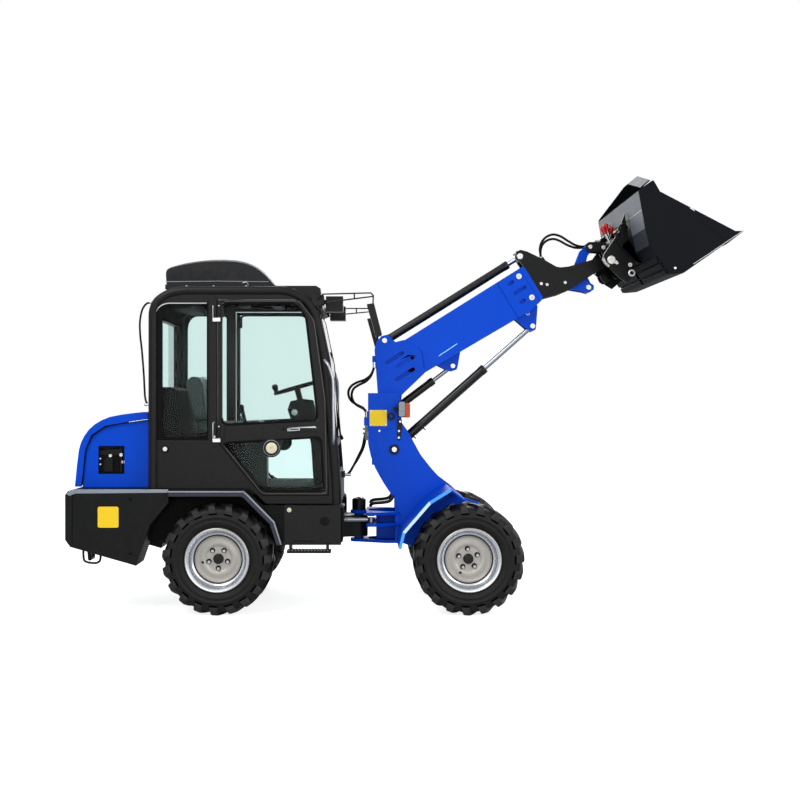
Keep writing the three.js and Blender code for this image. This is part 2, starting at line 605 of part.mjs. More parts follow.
// ---------------------------------------------------------------------- boom
function boomOuter() {
  const shell = cut(
    side(boomPts([[340, BOX_LO], [1178, 114], [1259, 106], [1390, 136], [BOX_END, 407], [1374, BOX_HI],
      [340, BOX_HI]]), -BOX_Y, BOX_Y),
    side(boomPts([[352, BOX_LO + WALL], [1450, BOX_LO + WALL], [1450, BOX_HI - WALL],
      [352, BOX_HI - WALL]]), -BOX_Y + WALL, BOX_Y - WALL));
  const cheek = side(boomPts([[-50, -16], [-44, 40], [5, 185], [160, 480], [200, 515], [250, 530],
    [296, 515], [312, 440], [460, BOX_HI + 4], [460, 134], [360, 132], [150, 88], [60, -18], [38, -44],
    [0, -54], [-36, -42]]), -BOX_Y - 12, -BOX_Y + 8);
  const A = boomPts([[0, 0]])[0];
  // cross plates that tie the two cheeks behind the box
  const back = side(boomPts([[60, 250], [72, 244], [180, 420], [168, 428]]), -BOX_Y + 6, BOX_Y - 6);
  const liftEar = boomPts([[1150, 125], [1170, 60], [1186, 10], [1206, -24], [1236, -26], [1254, -6],
    [1340, 112], [1340, 130]]);
  const levelEar = boomPts([[480, 142], [526, 66], [556, 40], [590, 32], [612, 50], [694, 142]]);
  const port = box(HOSE_BACK[0] - 14, 154, HOSE_Y - 20, HOSE_Y + 22, HOSE_BACK[1] + GAP, HOSE_BACK[1] + 46);
  return cut(join(shell, both(cheek), back, port,
    both(side(liftEar, -58, -40)), both(side(levelEar, -52, -36)),
    both(pinY(...LIFT_EYE, 26, -64, -46)), both(pinY(...LEVEL_EYE, 22, -57, -42)),
    pinY(...boomPt([251.6, TELE_Q]), 14, -BOX_Y - 10, BOX_Y + 10)),
  both(pinY(A[0], A[1], 27, -BOX_Y - 20, -BOX_Y + 20)));
}
function teleBarrel() {
  const a = boomPt([251.6, TELE_Q]);
  const at = (p) => { const v = boomPt([p, TELE_Q]); return [v[0], 0, v[1]]; };
  return cut(
    join(pinY(...a, 32, -24, 24), bar(at(262), at(300), 24, 14), bar(at(290), at(1325), 30, 20)),
    bar(at(340), at(1345), 18, 16), pinY(...a, 14 + GAP, -30, 30));
}
function boomInner() {
  const IN_Y = BOX_Y - WALL - 8;
  const IN_LO = BOX_LO + WALL + 8;
  const IN_HI = BOX_HI - WALL - 8;
  const tube = cut(
    side(boomPts([[640, IN_LO], [1560, IN_LO], [1560, IN_HI], [640, IN_HI]]), -IN_Y, IN_Y),
    side(boomPts([[630, IN_LO + 10], [1570, IN_LO + 10], [1570, IN_HI - 10], [630, IN_HI - 10]]),
      -IN_Y + 10, IN_Y - 10));
  const plateY = [-83, -58];
  const nose = [[1341, 2240], [1155, 2520], [1148, 2556], [1185, 2569], [1232, 2556], [1353, 2498],
    [1445, 2446], [1475, 2441], [1535, 2447], [1692, 2492], ...circle(HITCH_X, HITCH_Z, 36, 118, -84, 9),
    [1731, 2402], [1554, 2284], [1470, 2248], [1349, 2216]];
  const lug = [[1456, 2326], [1478, 2296], [1650, 2268], [1685, 2258], [1722, 2280], [1724, 2310], [1640, 2372]];
  const sheet = both(join(side(nose, ...plateY), side(lug, -60, -40)));
  const web = join(
    side(boomPts([[1530, IN_LO], [1630, IN_LO - 27], [1640, IN_LO - 16], [1540, IN_LO + 12]]), -80, 80),
    side(boomPts([[1408, IN_HI - 12], [1470, IN_HI - 12], [1470, IN_HI], [1408, IN_HI]]), -80, 80),
    pinY(...boomPt([1421, TELE_Q]), 14, -90, 90),
    box(HOSE_NOSE[0] - 18, HOSE_NOSE[0] + 18, IN_Y - 6, NOSE_Y + 18, HOSE_NOSE[1] - 45, HOSE_NOSE[1]));
  // wear pads that slide in the outer box
  const pads = join(
    side(boomPts([[650, IN_LO - 7.5], [720, IN_LO - 7.5], [720, IN_LO + 5], [650, IN_LO + 5]]), -60, 60),
    side(boomPts([[650, IN_HI - 5], [720, IN_HI - 5], [720, IN_HI + 7.5], [650, IN_HI + 7.5]]), -60, 60));
  return cut(join(tube, sheet, web, pads),
    both(pinY(HITCH_X, HITCH_Z, 23, -90, -50)), both(pinY(...ROCKER_LOW, 21, -65, -35)));
}
function teleRod() {
  const b = boomPt([1421, TELE_Q]);
  const at = (p) => { const v = boomPt([p, TELE_Q]); return [v[0], 0, v[1]]; };
  return cut(join(bar(at(640), at(1421), 17.2, 16), pinY(...b, 34, -30, 30)),
    pinY(...b, 14 + GAP, -40, 40));
}
// Rocker: one thick plate bowed to the rear, with a pin at each end.
function rocker() {
  const line = [[...ROCKER_LOW, 36], [1640, 2378, 40], [1630, 2470, 40], [1655, 2548, 34], [...ROCKER_TOP, 27]];
  const edge = (k) => line.map(([x, z, w], i) => {
    const a = line[Math.max(0, i - 1)];
    const b = line[Math.min(line.length - 1, i + 1)];
    const l = Math.hypot(b[0] - a[0], b[1] - a[1]);
    return [x - k * w * (b[1] - a[1]) / l, z + k * w * (b[0] - a[0]) / l];
  });
  return join(side([...edge(1), ...edge(-1).reverse()], -16, 16),
    pinY(...ROCKER_LOW, 36, -34, 34, 18), pinY(...ROCKER_LOW, 20, -56, 56, 18),
    pinY(...ROCKER_TOP, 27, -16, 16, 18), pinY(...ROCKER_TOP, 14, -31, 31, 18));
}
function tiltLink() {
  const [a, b] = [ROCKER_TOP, LINK_EYE];
  const strap = join(pinY(...a, 28, -30, -20), pinY(...b, 26, -30, -20),
    side([[a[0], a[1] - 22], [b[0], b[1] - 20], [b[0], b[1] + 20], [a[0], a[1] + 22]], -30, -20));
  return cut(join(both(strap), pinY(...b, 14, -30, 30)), both(pinY(...a, 14.8, -60, -10)));
}

// -------------------------------------------------------------- hitch, bucket
function hitch() {
  const plate = [[1905, 2810], [1880, 2736], [1870, 2686], [1760, 2520], [1745, 2474], [1760, 2449],
    [1790, 2424], [1870, 2344], [1920, 2314], [1991, 2374], [1976, 2414], [1960, 2545], [1936, 2636],
    [1920, 2700], [1913, 2757]];
  const cheek = side(plate, -250, -234);
  const lug = side([[LINK_EYE[0] - 22, LINK_EYE[1] + 30], [LINK_EYE[0] + 26, LINK_EYE[1] + 34],
    [1905, 2560], [1905, 2470], [1870, 2462], [HITCH_X - 20, HITCH_Z - 28], [HITCH_X - 34, HITCH_Z - 6],
    [HITCH_X - 34, HITCH_Z + 20], [LINK_EYE[0] - 34, LINK_EYE[1] - 4]], -47, -35);
  return join(
    both(cheek), both(lug),
    pinY(1893, 2700, 20, -240, 240),
    both(pinY(1925, 2400, 20, -240, -116)),
    both(side([[1884, 2590], [1912, 2590], [1950, 2400], [1925, 2380], [1905, 2400], [1884, 2510]], -128, -116)),
    box(1884, 1912, -240, 240, 2500, 2590),
    both(side([[1880, 2700], [1906, 2700], [1912, 2580], [1886, 2580]], -47, -35)),
    side([[HOSE_HITCH[0] + GAP, HOSE_HITCH[1] - 18], [HOSE_HITCH[0] + GAP, HOSE_HITCH[1] + 18], [1878, 2706],
      [1893, 2690], [1893, 2664]], NOSE_Y - 22, NOSE_Y + 14),
    pinY(HITCH_X, HITCH_Z, 22, -88, 88),
  );
}
const BUCKET = [[214, -350], [711, -350], [664, -318], [396, 201], [404, 286], [283, 285], [225, 160],
  [172, 48], [130, -63], [130, -146], [128, -301]];
function bucket() {
  const outer = side(bucketPts(BUCKET), -BUCKET_W, BUCKET_W);
  const inner = side(bucketPts([[222, -350 + PLATE], [760, -350 + PLATE], [760, 400], [300, 400],
    [283 + PLATE, 283], [225 + PLATE, 156], [172 + PLATE, 45], [130 + PLATE, -66], [130 + PLATE, -144],
    [128 + PLATE, -296]]), -BUCKET_W + PLATE, BUCKET_W - PLATE);
  const shell = cut(outer, inner);
  const ear = side(bucketPts([[135, -150], [96, -120], [66, 20], [96, 40], [176, 50]]), -268, -250.3);
  const rib = side(bucketPts([[283, 285], [404, 286], [398, 262], [270, 262]]), -BUCKET_W + 5, BUCKET_W - 5);
  // spill guard: two wings that rise to the middle, bent over along the top
  const foot = [[1906, 2884], [1917, 2913], [1979, 2965], [1985, 2959], [1925, 2909], [1915, 2884]];
  const peak = [[1906, 2884], [1971, 3052], [2042, 3112], [2048, 3106], [1979, 3048], [1915, 2884]];
  const guard = loft([[-BUCKET_W + 5, foot], [-60, peak], [60, peak], [BUCKET_W - 5, foot]]);
  return join(shell, both(ear), rib, guard);
}

// ------------------------------------------------------------ steering rams
function steerBarrel() {
  const [ax, ay] = STEER_BASE;
  const [bx, by] = STEER_EYE;
  const a = [ax, -ay, STEER_Z];
  const b = [bx, -by, STEER_Z];
  const at = (t) => a.map((v, i) => v + (b[i] - v) * t);
  return cut(
    join(pinZ(ax, -ay, 28, STEER_Z - 18, STEER_Z + 18), bar(at(0.03), at(0.1), 17, 14),
      bar(at(0.07), at(0.585), 27, 18)),
    bar(at(0.105), at(0.62), 14.2, 14), pinZ(ax, -ay, 14.7, STEER_Z - 40, STEER_Z + 40));
}
function steerRod() {
  const [ax, ay] = STEER_BASE;
  const [bx, by] = STEER_EYE;
  const a = [ax, -ay, STEER_Z];
  const b = [bx, -by, STEER_Z];
  const at = (t) => a.map((v, i) => v + (b[i] - v) * t);
  return join(bar(at(0.34), at(1), 13.6, 14), pinZ(bx, -by, 26, STEER_Z - 16, STEER_Z + 16));
}

// ------------------------------------------------------------------ assembly
const wheelAt = (name, parent, x, s) => {
  const g = pivot(`${name}_pivot`, parent, x, s * TRACK / 2, TYRE_R);
  place(`${name}_tyre`, g, tyre(x, s * TRACK / 2), RUBBER);
  place(`${name}_rim`, g, rim(x, s * TRACK / 2, s), GREY);
};

place('rear_frame', machine, rearFrame(), BLACK);
place('counterweight', machine, counterweight(), BLACK);
place('engine', machine, box(-1850, -1500, -260, 260, RAIL_Z1 + GAP, 1150), CAST);
place('rear_axle', machine, axle(REAR_AXLE_X, [195, 245], RAIL_Z0 - GAP), CAST);
place('hood_side_right', machine, hoodSide(), BLUE);
place('hood_side_left', machine, mirrorY(hoodSide()), BLUE);
pair('cab_side', [machine, machine], cabSide(), BLACK);
pair('side_glass', [machine, machine], sideGlass(), GLASS);
place('rear_glass', machine, rearGlass(), GLASS);
place('cab_roof', machine, cabRoof(), BLACK);
place('windshield', machine, windshield(), GLASS);
place('cab_tub', machine, join(cabRear(), cabFloor(), cabFront(), armConsole(), cabGland()), SATIN);
place('air_conditioner', machine, airUnit(), SATIN);
pair('mirror', [machine, machine], mirror(), SATIN);
pair('side_box', [machine, machine], sideBox(), BLACK);
place('seat', machine, seat(), VINYL);
place('steering_column', machine, steeringColumn(), SATIN);

const hoodPivot = pivot('hood_pivot', machine, HOOD_HINGE[0], 0, HOOD_HINGE[1]);
place('hood', hoodPivot, hood(), BLUE);
const doorR = pivot('door_right_pivot', machine, -958, -CAB_W - 12, 1500);
const doorL = pivot('door_left_pivot', machine, -958, CAB_W + 12, 1500);
pair('door', [doorR, doorL], door(), BLACK);
pair('door_glass', [doorR, doorL], doorGlass(), GLASS);

wheelAt('rear_right', machine, REAR_AXLE_X, -1);
wheelAt('rear_left', machine, REAR_AXLE_X, 1);

const steerBaseR = pivot('steer_barrel_right_pivot', machine, STEER_BASE[0], -STEER_BASE[1], STEER_Z);
const steerBaseL = pivot('steer_barrel_left_pivot', machine, STEER_BASE[0], STEER_BASE[1], STEER_Z);
const steerRodR = pivot('steer_rod_right_pivot', steerBaseR, STEER_EYE[0], -STEER_EYE[1], STEER_Z);
const steerRodL = pivot('steer_rod_left_pivot', steerBaseL, STEER_EYE[0], STEER_EYE[1], STEER_Z);
pair('steer_barrel', [steerBaseR, steerBaseL], steerBarrel(), BLACK);
pair('steer_rod', [steerRodR, steerRodL], steerRod(), CHROME);

const front = pivot('front_pivot', machine, 0, 0, STEER_Z);
place('front_frame', front, frontFrame(), BLUE);
place('front_axle', front, axle(FRONT_AXLE_X, [TOWER_Y - 24, TOWER_Y - 2], 440 - GAP), CAST);
pair('front_fender', [front, front], frontFender(), BLUE);
pair('front_lamp', [front, front], frontLamp(), LAMP);
wheelAt('front_right', front, FRONT_AXLE_X, -1);
wheelAt('front_left', front, FRONT_AXLE_X, 1);

const boom = pivot('boom_pivot', front, BOOM_X, 0, BOOM_Z);
place('boom', boom, boomOuter(), BLUE);
place('telescope_barrel', boom, teleBarrel(), BLACK);

const inner = pivot('telescope_pivot', boom, ...(([x, z]) => [x, 0, z])(boomPt([1410, 270])));
place('inner_boom', inner, boomInner(), BLACK);
place('telescope_rod', inner, teleRod(), CHROME);

const liftBase = pivot('lift_barrel_pivot', front, LIFT_BASE[0], 0, LIFT_BASE[1]);
place('lift_barrel', liftBase, barrelXZ(LIFT_BASE, LIFT_EYE, 34, 0.66, 0, 30, 20), BLACK);
const liftRod = pivot('lift_rod_pivot', liftBase, LIFT_EYE[0], 0, LIFT_EYE[1]);
place('lift_rod', liftRod, rodXZ(LIFT_BASE, LIFT_EYE, 34, 0.335, 0, 26, 18), CHROME);

const levelBase = pivot('level_barrel_pivot', front, LEVEL_BASE[0], 0, LEVEL_BASE[1]);
place('level_barrel', levelBase, barrelXZ(LEVEL_BASE, LEVEL_EYE, 28, 0.72, 0, 22, 14), BLACK);
const levelRod = pivot('level_rod_pivot', levelBase, LEVEL_EYE[0], 0, LEVEL_EYE[1]);
place('level_rod', levelRod, rodXZ(LEVEL_BASE, LEVEL_EYE, 28, 0.4, 0, 24, 14), CHROME);

const rockerPivot = pivot('rocker_pivot', inner, ROCKER_LOW[0], 0, ROCKER_LOW[1]);
place('tilt_rocker', rockerPivot, rocker(), BLUE);
const linkPivot = pivot('tilt_link_pivot', rockerPivot, ROCKER_TOP[0], 0, ROCKER_TOP[1]);
place('tilt_link', linkPivot, tiltLink(), BLACK);

const tool = pivot('tool_pivot', inner, HITCH_X, 0, HITCH_Z);
place('hitch', tool, hitch(), BLACK);
place('bucket', tool, bucket(), BLACK);

// Hoses and the cable behind the cab. Each runs between the two ends' faces.
const hoseRow = (pts) => pts.map(([x, z]) => [x, HOSE_Y, z]);
const HOSE_TOWER = hoseRow([HOSE_CAB, [HOSE_CAB[0] + 14, HOSE_CAB[1]], [-66, 946], [-42, 985], [4, 1060], [34, 1125], [50, 1200],
  [HOSE_PORT[0], HOSE_PORT[1] - 30], [HOSE_PORT[0], HOSE_PORT[1] - GAP]]);
const HOSE_LOOP = hoseRow([[HOSE_PORT[0], HOSE_PORT[2] + GAP], [HOSE_PORT[0], HOSE_PORT[2] + 16],
  [52, 1380], [30, 1413], [-14, 1436], [-52, 1462],
  [-74, 1500], [-74, 1541], [-50, 1577], [-8, 1601], [45, 1620], [84, 1650], [106, 1694],
  [HOSE_BACK[0], HOSE_BACK[1] - 16], HOSE_BACK]);
const HOSE_TOP = [[HOSE_NOSE[0], HOSE_NOSE[1] + GAP], [HOSE_NOSE[0], HOSE_NOSE[1] + 18], [1356, 2560],
  [1352, 2600], [1365, 2650], [1400, 2690], [1450, 2708], [1503, 2696], [1562, 2660], [1620, 2628],
  [1682, 2618], [1745, 2642], [HOSE_HITCH[0] - 16, HOSE_HITCH[1]], HOSE_HITCH].map(([x, z]) => [x, NOSE_Y, z]);
const CABLE = [[-1427.6, 2140.1], [-1440.6, 2145.4], [-1470, 2144], [-1500, 2110], [-1520, 2030], [-1520, 1930], [-1508, 1817],
  [-1494, 1640], [-1489, 1540], [-1484, 1480], [-1474, 1450],
  [CAB_REAR - 14, 1440], [CAB_REAR - GAP, 1440]].map(([x, z]) => [x, CABLE_Y, z]);
place('hose_tower', machine, hoseTube(HOSE_TOWER, HOSE_D, 12), RUBBER);
place('hose_boom', front, hoseTube(HOSE_LOOP, HOSE_D, 18), RUBBER);
place('hose_nose', inner, hoseTube(HOSE_TOP, HOSE_D, 18), RUBBER);
place('hose_cab', machine, hoseTube(CABLE, CABLE_D, 24), RUBBER);

// The machine stands with the middle of its length over the origin.
const REAR_END = -2008;
const FRONT_END = bucketPts([[711, -350]])[0][0];
machine.position.x = -(REAR_END + FRONT_END) / 2;

export default machine;
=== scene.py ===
import math

import bmesh
import bpy
import numpy as np
from mathutils.geometry import tessellate_polygon
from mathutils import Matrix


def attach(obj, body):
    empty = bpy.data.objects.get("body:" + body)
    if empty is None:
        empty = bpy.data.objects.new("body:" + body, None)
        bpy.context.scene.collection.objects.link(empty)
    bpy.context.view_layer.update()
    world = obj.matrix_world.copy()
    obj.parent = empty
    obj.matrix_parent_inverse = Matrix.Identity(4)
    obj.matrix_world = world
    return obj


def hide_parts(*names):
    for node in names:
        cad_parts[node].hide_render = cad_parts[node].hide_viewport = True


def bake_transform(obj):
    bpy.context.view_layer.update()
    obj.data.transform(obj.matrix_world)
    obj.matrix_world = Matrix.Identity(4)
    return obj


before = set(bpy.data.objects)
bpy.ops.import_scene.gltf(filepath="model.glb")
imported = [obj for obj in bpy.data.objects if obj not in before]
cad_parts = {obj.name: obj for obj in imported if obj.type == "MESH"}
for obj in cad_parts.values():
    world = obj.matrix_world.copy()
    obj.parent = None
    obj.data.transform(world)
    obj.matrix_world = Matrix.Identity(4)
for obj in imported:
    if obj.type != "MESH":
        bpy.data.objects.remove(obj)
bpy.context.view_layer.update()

# ---------------------------------------------------------------- studio
# A level camera square to the machine's right side, in a pale room. The
# floor and the room show as plain white, and the lamps stay soft and low.
scene = bpy.context.scene
scene.view_settings.view_transform = "Standard"
lens = bpy.data.cameras.new("camera")
lens.lens, lens.sensor_width = 50.4, 36
lens.shift_x, lens.shift_y = 0.0388, 0.0025
camera = bpy.data.objects.new("camera", lens)
camera.location = (-0.2316, -8.272, 1.456)
camera.rotation_euler = (math.pi / 2, 0, 0)
scene.collection.objects.link(camera)
scene.camera = camera

for label, spot, aim, size, watts in (
        ("key", (-4.0, -5.0, 6.5), (0, 0, 1.2), 4.0, 330),
        ("front_fill", (5.5, -5.5, 3.6), (0.8, 0, 1.2), 4.5, 210),
        ("low_fill", (-0.5, -7.5, 1.2), (0, 0, 1.1), 5.0, 120),
        ("far_side", (0, 6.5, 5.0), (0, 0, 1.2), 5.0, 200)):
    lamp = bpy.data.lights.new(label, "AREA")
    lamp.energy, lamp.size = watts, size
    holder = bpy.data.objects.new(label, lamp)
    holder.location = spot
    away = np.array(spot) - np.array(aim)
    holder.rotation_euler = (math.acos(away[2] / np.linalg.norm(away)), 0, math.atan2(away[0], -away[1]))
    scene.collection.objects.link(holder)


class Shade:
    """A shader value. Arithmetic on it adds Math nodes to its own tree."""

    def __init__(self, tree, socket=None):
        self.tree, self.socket = tree, socket

    def make(self, kind, settings=None, out=0, **into):
        """Adds one node: its settings first, then a number, colour or Shade for each socket."""
        node = self.tree.nodes.new("ShaderNode" + kind)
        for key, value in (settings or {}).items():
            if key == "stops":
                for stop, (at, grey) in zip(node.color_ramp.elements, value):
                    stop.position, stop.color = at, (grey, grey, grey, 1)
            else:
                setattr(node, key, value)
        for label, value in into.items():
            key = label.replace("_", " ").strip()
            socket = node.inputs[int(key) if key.isdigit() else key]
            if isinstance(value, Shade):
                self.tree.links.new(value.socket, socket)
            else:
                socket.default_value = value
        return Shade(self.tree, node.outputs[out]) if node.outputs else node

    def sum(self, sign, a, b):
        """One Math node of that sign on a and b."""
        return self.make("Math", {"operation": sign}, _0=a, _1=b)

    def __add__(self, b):
        return self.sum("ADD", self, b)

    def __radd__(self, b):
        return self.sum("ADD", b, self)

    def __sub__(self, b):
        return self.sum("SUBTRACT", self, b)

    def __rsub__(self, b):
        return self.sum("SUBTRACT", b, self)

    def __mul__(self, b):
        return self.sum("MULTIPLY", self, b)

    def __rmul__(self, b):
        return self.sum("MULTIPLY", b, self)

    def __truediv__(self, b):
        return self.sum("DIVIDE", self, b)

    def clip(self):
        """The value held between 0 and 1."""
        return self.make("Math", {"operation": "ADD", "use_clamp": True}, _0=self, _1=0.0)

    def ramp(self, low, high):
        """0 at low, 1 at high, straight between them."""
        return ((self - low) / (high - low)).clip()

    def tint(self, a, b):
        """Colour a where this value is 0, and b where it is 1."""
        return self.make("Mix", {"data_type": "RGBA"}, out=2, _0=self, _6=a, _7=b)


room = bpy.data.worlds.new("room")
room.use_nodes = True
room.node_tree.nodes.clear()
air = Shade(room.node_tree)
seen = sum((air.make("LightPath", out=i) for i in (3, 6)), air.make("LightPath", out=0)).clip()
air.make("OutputWorld", Surface=air.make("MixShader", _0=seen,
         _1=air.make("Background", Color=(0.9, 0.95, 1, 1), Strength=0.62),
         _2=air.make("Background", Color=(1, 1, 1, 1), Strength=1.0)))
scene.world = room

ground = bpy.data.meshes.new("floor")
ground.from_pydata([(-40, -30, -0.001), (40, -30, -0.001), (40, 40, -0.001), (-40, 40, -0.001)], [],
      [(0, 1, 2, 3)])
floor = bpy.data.objects.new("floor", ground)
scene.collection.objects.link(floor)
screed = bpy.data.materials.new("pale_screed")
screed.use_nodes = True
screed.node_tree.nodes.clear()
cast = Shade(screed.node_tree)
path = (cast.make("LightPath", out=0) + cast.make("LightPath", out=6)).clip()
cast.make("OutputMaterial", Surface=cast.make("AddShader",
          _0=cast.make("BsdfDiffuse", Color=(0.62, 0.62, 0.62, 1)),
          _1=cast.make("Emission", Color=(1, 1, 1, 1), Strength=path * 0.8)))
ground.materials.append(screed)

# ---------------------------------------------------------------- hoses
# Hydraulic hoses of black rubber over a steel braid, and the thinner
# cable behind the cab. Each end is crimped into a plated steel fitting.
PIN_X = -0.3056                 # the articulation pin; sizes are millimetres from it


def srgb(code):
    """Linear colour of a hex code."""
    c = np.array([int(code[i:i + 2], 16) for i in (0, 2, 4)]) / 255
    return (*np.where(c < 0.04045, c / 12.92, ((c + 0.055) / 1.055) ** 2.4), 1.0)


def finish(name, colour, rough, metal=0.0, coat=0.0, grain=220.0, relief=0.0004, mottle=0.1, dust=0.12,
           earth="8f8471", high=0.9, shine=0.25, clear=0.0):
    """A worked surface. Colour drifts by a slow noise; dust lies in patches, thicker towards the
    ground; gloss follows both; relief is a fine noise of that height in metres. clear above 0
    lets light through."""
    m = bpy.data.materials.new(name)
    m.use_nodes = True
    m.node_tree.nodes.clear()
    s = Shade(m.node_tree)
    spot = s.make("TexCoord", out=3)
    slow = s.make("TexNoise", Vector=spot, Scale=3.1, Detail=3.0)
    patch = s.make("TexNoise", Vector=spot, Scale=19.0, Detail=5.0, Roughness=0.7)
    fine = s.make("TexNoise", Vector=spot, Scale=grain, Detail=2.0)
    height = s.make("SeparateXYZ", out=2, Vector=spot)
    low = 1 - height.ramp(0.0, high)
    film = ((patch.ramp(0.42, 0.72) * 0.6 + low * 0.5) * dust).clip()
    c = srgb(colour)
    body = slow.tint(tuple(v * (1 - mottle) for v in c[:3]) + (1,),
          tuple(min(1, v * (1 + mottle)) for v in c[:3]) + (1,))
    tone = film.tint(body, srgb(earth))
    gloss = (rough + (patch - 0.5) * 0.16 + film * 0.5).clip()
    bump = s.make("Bump", Strength=1.0, Distance=relief, Height=fine * 0.7 + patch * 0.5)
    shader = s.make("BsdfPrincipled", Base_Color=tone, Roughness=gloss, Metallic=metal, Coat_Weight=coat,
                    Coat_Roughness=0.08, Specular_IOR_Level=shine, Normal=bump,
                    Transmission_Weight=clear, IOR=1.5 if clear == 0 else 1.12)
    s.make("OutputMaterial", Surface=shader)
    return m


def grid(rows, cols, loop=True, close=False):
    """Faces of a grid of points; loop joins its last column to the first, close its last row."""
    r, c = np.meshgrid(np.arange(rows if close else rows - 1), np.arange(cols if loop else cols - 1),
          indexing="ij")
    r, c = r.ravel(), c.ravel()
    d, e = (r + 1) % rows, (c + 1) % cols
    return np.stack([r * cols + c, r * cols + e, d * cols + e, d * cols + c], 1).tolist()


def swept(line, radius, sides=12, across=(0, 1, 0)):
    """A ring carried along a line: point = line + radius (cos a * across + sin a * (tangent x across))."""
    line = np.asarray(line, float)
    t = np.gradient(line, axis=0)
    t /= np.linalg.norm(t, axis=1)[:, None]
    u = np.array(across, float) - t * (t @ np.array(across, float))[:, None]
    u /= np.linalg.norm(u, axis=1)[:, None]
    w = np.cross(t, u)
    a = np.arange(sides) * 2 * math.pi / sides
    r = np.broadcast_to(np.asarray(radius, float), (len(line),))[:, None, None]
    v = line[:, None] + r * (np.cos(a)[None, :, None] * u[:, None] + np.sin(a)[None, :, None] * w[:, None])
    n = len(line)
    caps = [list(range(sides))[::-1], list(range((n - 1) * sides, n * sides))]
    return v.reshape(-1, 3), grid(n, sides) + caps


def smooth(points, step=8.0):
    """A line through the points: a cubic whose slope at each point is that of its neighbours."""
    p = np.asarray(points, float)
    k = np.concatenate([[0], np.cumsum(np.linalg.norm(np.diff(p, axis=0), axis=1) ** 0.5)])
    m = np.gradient(p, k, axis=0)
    q = np.linspace(0, k[-1], 400)
    i = np.clip(np.searchsorted(k, q, side="right") - 1, 0, len(k) - 2)
    h = (k[i + 1] - k[i])[:, None]
    s = (q[:, None] - k[i][:, None]) / h
    fine = ((2 * s**3 - 3 * s**2 + 1) * p[i] + (s**3 - 2 * s**2 + s) * h * m[i]
            + (3 * s**2 - 2 * s**3) * p[i + 1] + (s**3 - s**2) * h * m[i + 1])
    run = np.concatenate([[0], np.cumsum(np.linalg.norm(np.diff(fine, axis=0), axis=1))])
    even = np.linspace(0, run[-1], max(8, int(run[-1] / step)))
    return np.stack([np.interp(even, run, fine[:, j]) for j in range(3)], 1)


def span(line):
    """Length of a line of points, in metres."""
    return float(np.linalg.norm(np.diff(line, axis=0), axis=1).sum() / 1000)


def placed(points):
    """Millimetres from the articulation pin to metres in the machine's frame."""
    return np.asarray(points, float) / 1000 + np.array([PIN_X, 0, 0])


def piece(name, parts, material, body, stands=(), bevel=0.0, sharp=32, steps=2):
    """One object from (points, faces) parts, its faces turned outwards, edges rounded by bevel mm."""
    points, faces, base = [], [], 0
    for v, f in parts:
        points.append(placed(v))
        faces += [[i + base for i in face] for face in f]
        base += len(v)
    mesh = bpy.data.meshes.new(name)
    mesh.from_pydata(np.concatenate(points).tolist(), [], faces)
    made = bmesh.new()
    made.from_mesh(mesh)
    bmesh.ops.recalc_face_normals(made, faces=made.faces)
    made.to_mesh(mesh)
    made.free()
    mesh.materials.append(material)
    return dress(bpy.data.objects.new(name, mesh), body, stands, bevel, sharp, steps)


def dress(obj, body, stands=(), bevel=0.0, sharp=32, steps=2):
    """Smooth shading, rounded edges, and the body that it rides on."""
    obj.data.polygons.foreach_set("use_smooth", [True] * len(obj.data.polygons))
    obj.data.set_sharp_from_angle(angle=math.radians(sharp))
    scene.collection.objects.link(obj)
    if bevel:
        edge = obj.modifiers.new("edge", "BEVEL")
        edge.width, edge.segments, edge.limit_method = bevel / 1000, steps, "ANGLE"
        edge.angle_limit, edge.harden_normals, edge.use_clamp_overlap = math.radians(sharp), True, True
    if body:
        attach(obj, body)
    if stands:
        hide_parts(*stands)
    return obj


HOSE_R, CABLE_R = 9.0, 7.0      # half widths
hose_rubber = finish("hose_rubber", "08080a", 0.52, shine=0.12, grain=900, relief=0.0003, dust=0.02)
zinc = finish("zinc_fitting", "b9bcbe", 0.3, metal=1.0, grain=300, relief=0.0001, dust=0.06)
HOSE_Y, HOSE_TWIN_Y, NOSE_Y, CABLE_Y = -88, -112, 102, -470
TOWER_RUN = [(-100, 930), (-86, 930), (-66, 946), (-42, 985), (4, 1060), (34, 1125), (50, 1200), (56, 1255),
             (56, 1284.7)]
BOOM_RUN = [(56, 1345.3), (56, 1361), (52, 1380), (30, 1413), (-14, 1436), (-52, 1462), (-74, 1500),
      (-74, 1541),
            (-50, 1577), (-8, 1601), (45, 1620), (84, 1650), (106, 1694), (112, 1730), (112, 1746)]
NOSE_RUN = [(1362, 2500.3), (1362, 2518), (1356, 2560), (1352, 2600), (1365, 2650), (1400, 2690),
      (1450, 2708), (1503, 2696),
            (1562, 2660), (1620, 2628), (1682, 2618), (1745, 2642), (1784, 2654), (1800, 2654)]
REAR_RUN = [(-1427.6, 2140.1), (-1440.6, 2145.4), (-1470, 2144), (-1500, 2110), (-1520, 2030), (-1520, 1930),
            (-1508, 1817), (-1494, 1640), (-1489, 1540), (-1484, 1480), (-1474, 1450), (-1462, 1440),
            (-1448.3, 1440)]


def hose(name, run, y, radius, node=None):
    """A tube along its route with a crimped sleeve and a hexagon nut at both ends."""
    line = smooth([(x, y, z) for x, z in run])
    tube = piece(name, [swept(line, radius)], hose_rubber, None, (node,) if node else ())
    span(line)
    ends = []
    for tip, way in ((line[0], line[1] - line[0]), (line[-1], line[-2] - line[-1])):
        way = way / np.linalg.norm(way)
        reach = np.array([0, 13, 13.1, 15, 15.1, 40, 42])[:, None]
        girth = np.array([1.34, 1.34, 1.12, 1.12, 1.3, 1.3, 1.12]) * radius
        ends.append(swept(tip + way * (reach + 0.2), girth, 12))
    return tube, line, ends


